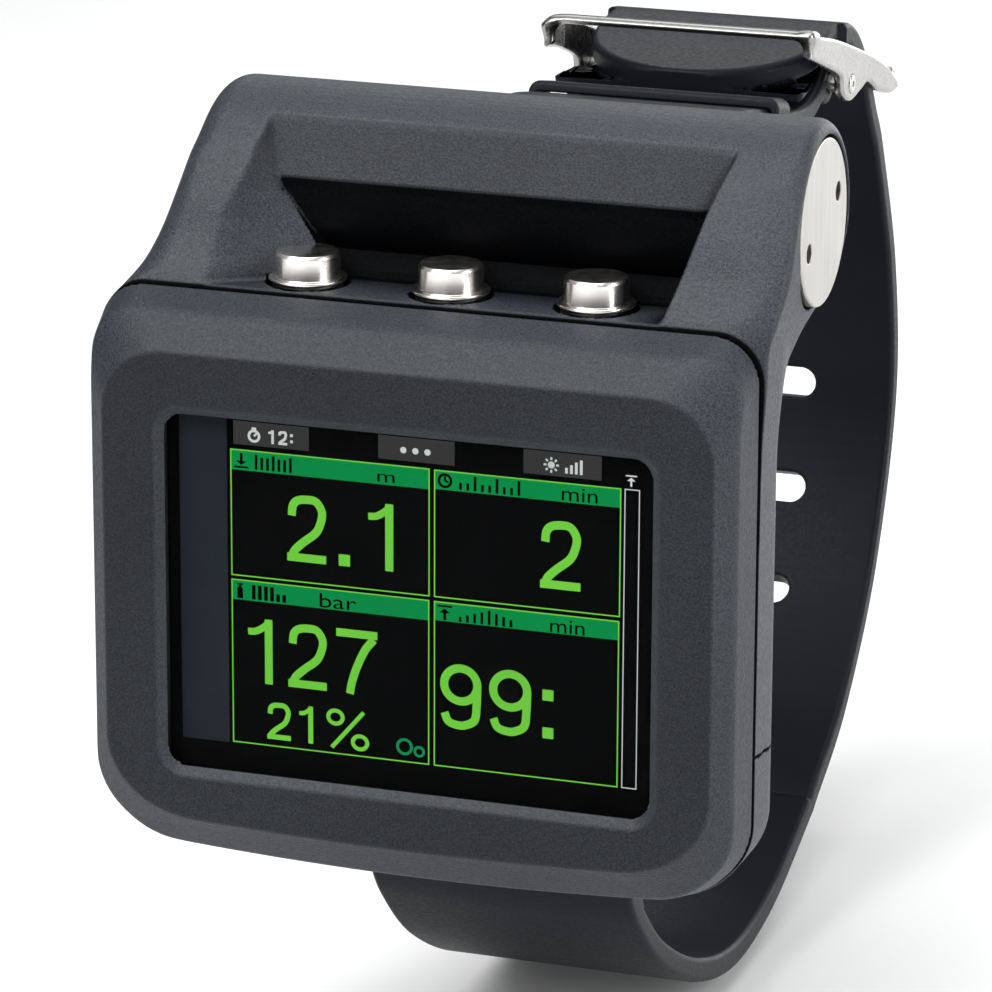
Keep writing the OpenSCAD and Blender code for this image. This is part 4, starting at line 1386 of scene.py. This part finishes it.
def bubbles(x, z, size, pen):
    half = size / 2
    return (ring(x + half, z + half, half - pen / 2, half - pen / 2, pen)
            + ring(x + size * 1.36, z + size * 0.30, size * 0.26, size * 0.26, pen * 0.9))


# ---- Layout ---------------------------------------------------------------------------------

CELLS = [  # name, left, right, bottom, top, lower edge of the header
    ("a", -18.0, 2.08, 1.62, 14.2, 12.15), ("b", 2.5, 20.9, 1.62, 14.15, 12.25),
    ("c", -18.0, 2.06, -15.2, 1.28, -0.75), ("d", 2.5, 20.85, -15.2, 1.25, -0.66)]
for name, left, right, bottom, top, head in CELLS:
    header = rect(left + 0.1, right - 0.1, head, top - 0.1)
    flat_shapes("screen_head_" + name, [header], HEADER, lift=0.02)
    flat_shapes("screen_cell_" + name, outline(left, right, bottom, top, 0.13), GREEN, lift=0.04)
flat_shapes("screen_bar_frame", outline(21.2, 22.7, -15.2, 14.15, 0.10), WHITE, lift=0.03)

KEY = lit_screen("screen_key", color=(0.055, 0.055, 0.055), strength=0.8)
BAND = plain("screen_side_band", dark=(0.0125, 0.0150, 0.0195), light=(0.0155, 0.0182, 0.0230),
             roughness=0.7, gloss=0.0)
for name, left, right in (("a", -17.66, -10.02), ("b", -3.07, 4.53), ("c", 11.32, 18.95)):
    flat_shapes("screen_key_" + name, [rect(left, right, 14.68, 17.0)], KEY, lift=0.02)
flat_shapes("screen_side_band", [rect(-23.2, -18.35, -15.3, 17.1)], BAND, lift=0.02)

UNITS = [  # name, text, x, z, height, width
    ("a", "m", -3.15, 12.42, 1.20, 1.75), ("b", "min", 15.1, 12.44, 1.42, 3.5),
    ("c", "bar", -9.0, -0.60, 1.42, 3.7), ("d", "min", 14.05, -0.54, 1.42, 3.4)]
for name, *placing in UNITS:
    words("screen_unit_" + name, *placing, INK, lift=0.05)

ICONS = [
    ("key_a", WHITE, stopwatch(-16.2, 14.98, 1.5, 0.26)
     + figure("1", -14.1, 15.02, 0.56, 1.36, 0.26) + figure("2", -13.1, 15.02, 0.92, 1.36, 0.26)
     + [rect(-11.9, -11.62, 15.3, 15.58), rect(-11.9, -11.62, 15.9, 16.18)]),
    ("key_b", WHITE, dots(-1.0, 14.98, 1.5)),
    ("key_c", WHITE, sun(13.3, 14.98, 1.5, 0.26)
     + ticks(15.4, 15.05, (0.55, 0.85, 1.15, 1.4), 0.48, 0.27)),
    ("bar", WHITE, arrow_up(21.3, 14.40, 1.1, 0.2)),
    ("head_a", INK, arrow_down(-17.6, 12.36, 1.46, 0.28)
     + ticks(-15.5, 12.36, (1.46, 1.2, 1.2, 1.46, 1.2, 1.2, 1.46), 0.58, 0.27)),
    ("head_b", INK, clock(2.86, 12.42, 1.46, 0.26)
     + ticks(5.0, 12.42, (0.7, 0.7, 1.42, 0.7, 0.7, 1.42, 0.7, 0.7, 1.42), 0.72, 0.27)),
    ("head_c", INK, bottle(-17.55, -0.60, 1.5)
     + ticks(-15.9, -0.58, (1.42, 1.42, 1.42, 1.42, 0.75, 0.75), 0.62, 0.38)),
    ("head_d", INK, arrow_up(2.86, -0.54, 1.46, 0.28)
     + ticks(5.0, -0.54, (0.5, 0.72, 0.94, 1.16, 1.4, 1.16, 0.94, 0.72), 0.72, 0.27)),
    ("gas", TEAL, bubbles(-1.3, -14.5, 1.72, 0.3)),
]
for name, material, shapes in ICONS:
    flat_shapes("screen_icon_" + name, shapes, material, lift=0.05)

FIGURES = [  # name, character, x, z, width, height, pen
    ("a1", "2", -12.27, 3.68, 4.0, 6.62, 0.82), ("a2", ".", -7.05, 3.72, 1.15, 1.15, 1),
    ("a3", "1", -4.07, 3.68, 2.52, 6.62, 0.82), ("b1", "2", 13.03, 3.70, 4.02, 6.68, 0.82),
    ("c1", "1", -16.33, -8.95, 2.5, 6.5, 0.80), ("c2", "2", -12.25, -8.95, 3.98, 6.45, 0.80),
    ("c3", "7", -7.34, -8.95, 4.17, 6.45, 0.80), ("c4", "2", -14.44, -14.45, 2.45, 3.75, 0.52),
    ("c5", "1", -11.15, -14.45, 1.42, 3.75, 0.50), ("c6", "%", -8.35, -14.55, 4.3, 3.85, 0.50),
    ("d1", "9", 3.14, -11.25, 4.14, 6.5, 0.82), ("d2", "9", 8.04, -11.3, 4.2, 6.55, 0.82),
    ("d3", ".", 13.36, -11.15, 1.1, 1.1, 1), ("d4", ".", 13.34, -7.4, 1.1, 1.1, 1)]
for name, *drawing in FIGURES:
    flat_shapes("screen_figure_" + name, figure(*drawing), GREEN, lift=0.06)


# ==== Camera, floor, lights and world ========================================================

CAMERA_PLACE = (165.753, -472.891, 157.213)     # mm
CAMERA_AXES = (                                 # directions in the scene
    (0.945634582839926, 0.32520213249423635, 0.004336906542730876),     # right
    (-0.09711353737899749, 0.2696135643246621, 0.9580592292702417),     # up
    (0.31039361558333844, -0.9063951119425526, 0.2865374398778461))     # backwards
FLOOR_Z = -0.0592
FLOOR_HALF = 4.0


def add_camera():
    data = bpy.data.cameras.new("camera")
    camera = add_object("camera", data)
    rows = [[*(axis[i] for axis in CAMERA_AXES), CAMERA_PLACE[i] * MM] for i in range(3)]
    camera.matrix_world = Matrix(rows + [[0, 0, 0, 1]])
    data.sensor_width = 36
    data.sensor_fit = "HORIZONTAL"
    data.lens = 197.321008
    data.clip_start, data.clip_end = 0.01, 10
    bpy.context.scene.camera = camera


def add_floor():
    nodes = material_nodes("floor_pale")
    mottle = nodes.noise(nodes.place(), scale=8)
    pale = nodes.output(nodes.add(
        "BsdfPrincipled", Roughness=0.6,
        Base_Color=nodes.shade(mottle, (0.80, 0.80, 0.80), (0.84, 0.84, 0.84))))
    mesh = bpy.data.meshes.new("floor")
    corners = rect(-FLOOR_HALF, FLOOR_HALF, -FLOOR_HALF, FLOOR_HALF)
    mesh.from_pydata([(x, y, FLOOR_Z) for x, y in corners], [], [(0, 1, 2, 3)])
    add_object("floor", mesh, pale)


LIGHTS = [  # name, place, target, width, height, watts
    ("top_soft", (0.05, 0.02, 0.80), (0.0, 0.02, 0.0), 0.8, 0.6, 3.6),
    ("top_front", (-0.24, -0.44, 0.64), (0.0, 0.0, 0.01), 0.7, 0.45, 5.2),
    ("front_high", (-0.34, -0.80, 0.50), (0.0, 0.0, 0.02), 0.7, 0.42, 3.6),
    ("right_soft", (0.70, -0.10, 0.22), (0.0, 0.03, 0.0), 0.35, 0.8, 4.5),
    ("back_right", (0.34, 0.82, 0.13), (0.02, 0.0, 0.0), 0.8, 0.34, 3.4),
    ("back_rim", (-0.10, 0.70, 0.45), (0.0, 0.03, 0.02), 0.6, 0.3, 1.2),
]


def add_light(name, place, target, width, height, watts):
    data = bpy.data.lights.new(name, "AREA")
    data.shape = "RECTANGLE"
    data.size, data.size_y = width, height
    data.energy = watts
    light = add_object(name, data)
    light.location = place
    aim = Vector(target) - Vector(place)
    light.rotation_euler = aim.to_track_quat("-Z", "Y").to_euler()


def set_world():
    """Sky that brightens from grey below to white overhead."""
    scene = bpy.context.scene
    scene.world = scene.world or bpy.data.worlds.new("world")
    nodes = Nodes(scene.world)
    height = nodes.add("SeparateXYZ", nodes.add("TexCoord").outputs["Generated"]).outputs["Z"]
    sky = nodes.ramp(height, (0.0, (0.20, 0.205, 0.215)), (0.22, (0.24, 0.245, 0.255)),
                     (0.6, (0.85, 0.86, 0.88)), (1.0, (1.0, 1.0, 1.0)))
    nodes.output(nodes.add("Background", Color=sky, Strength=0.42), "OutputWorld")


add_camera()
add_floor()
for light in LIGHTS:
    add_light(*light)
set_world()
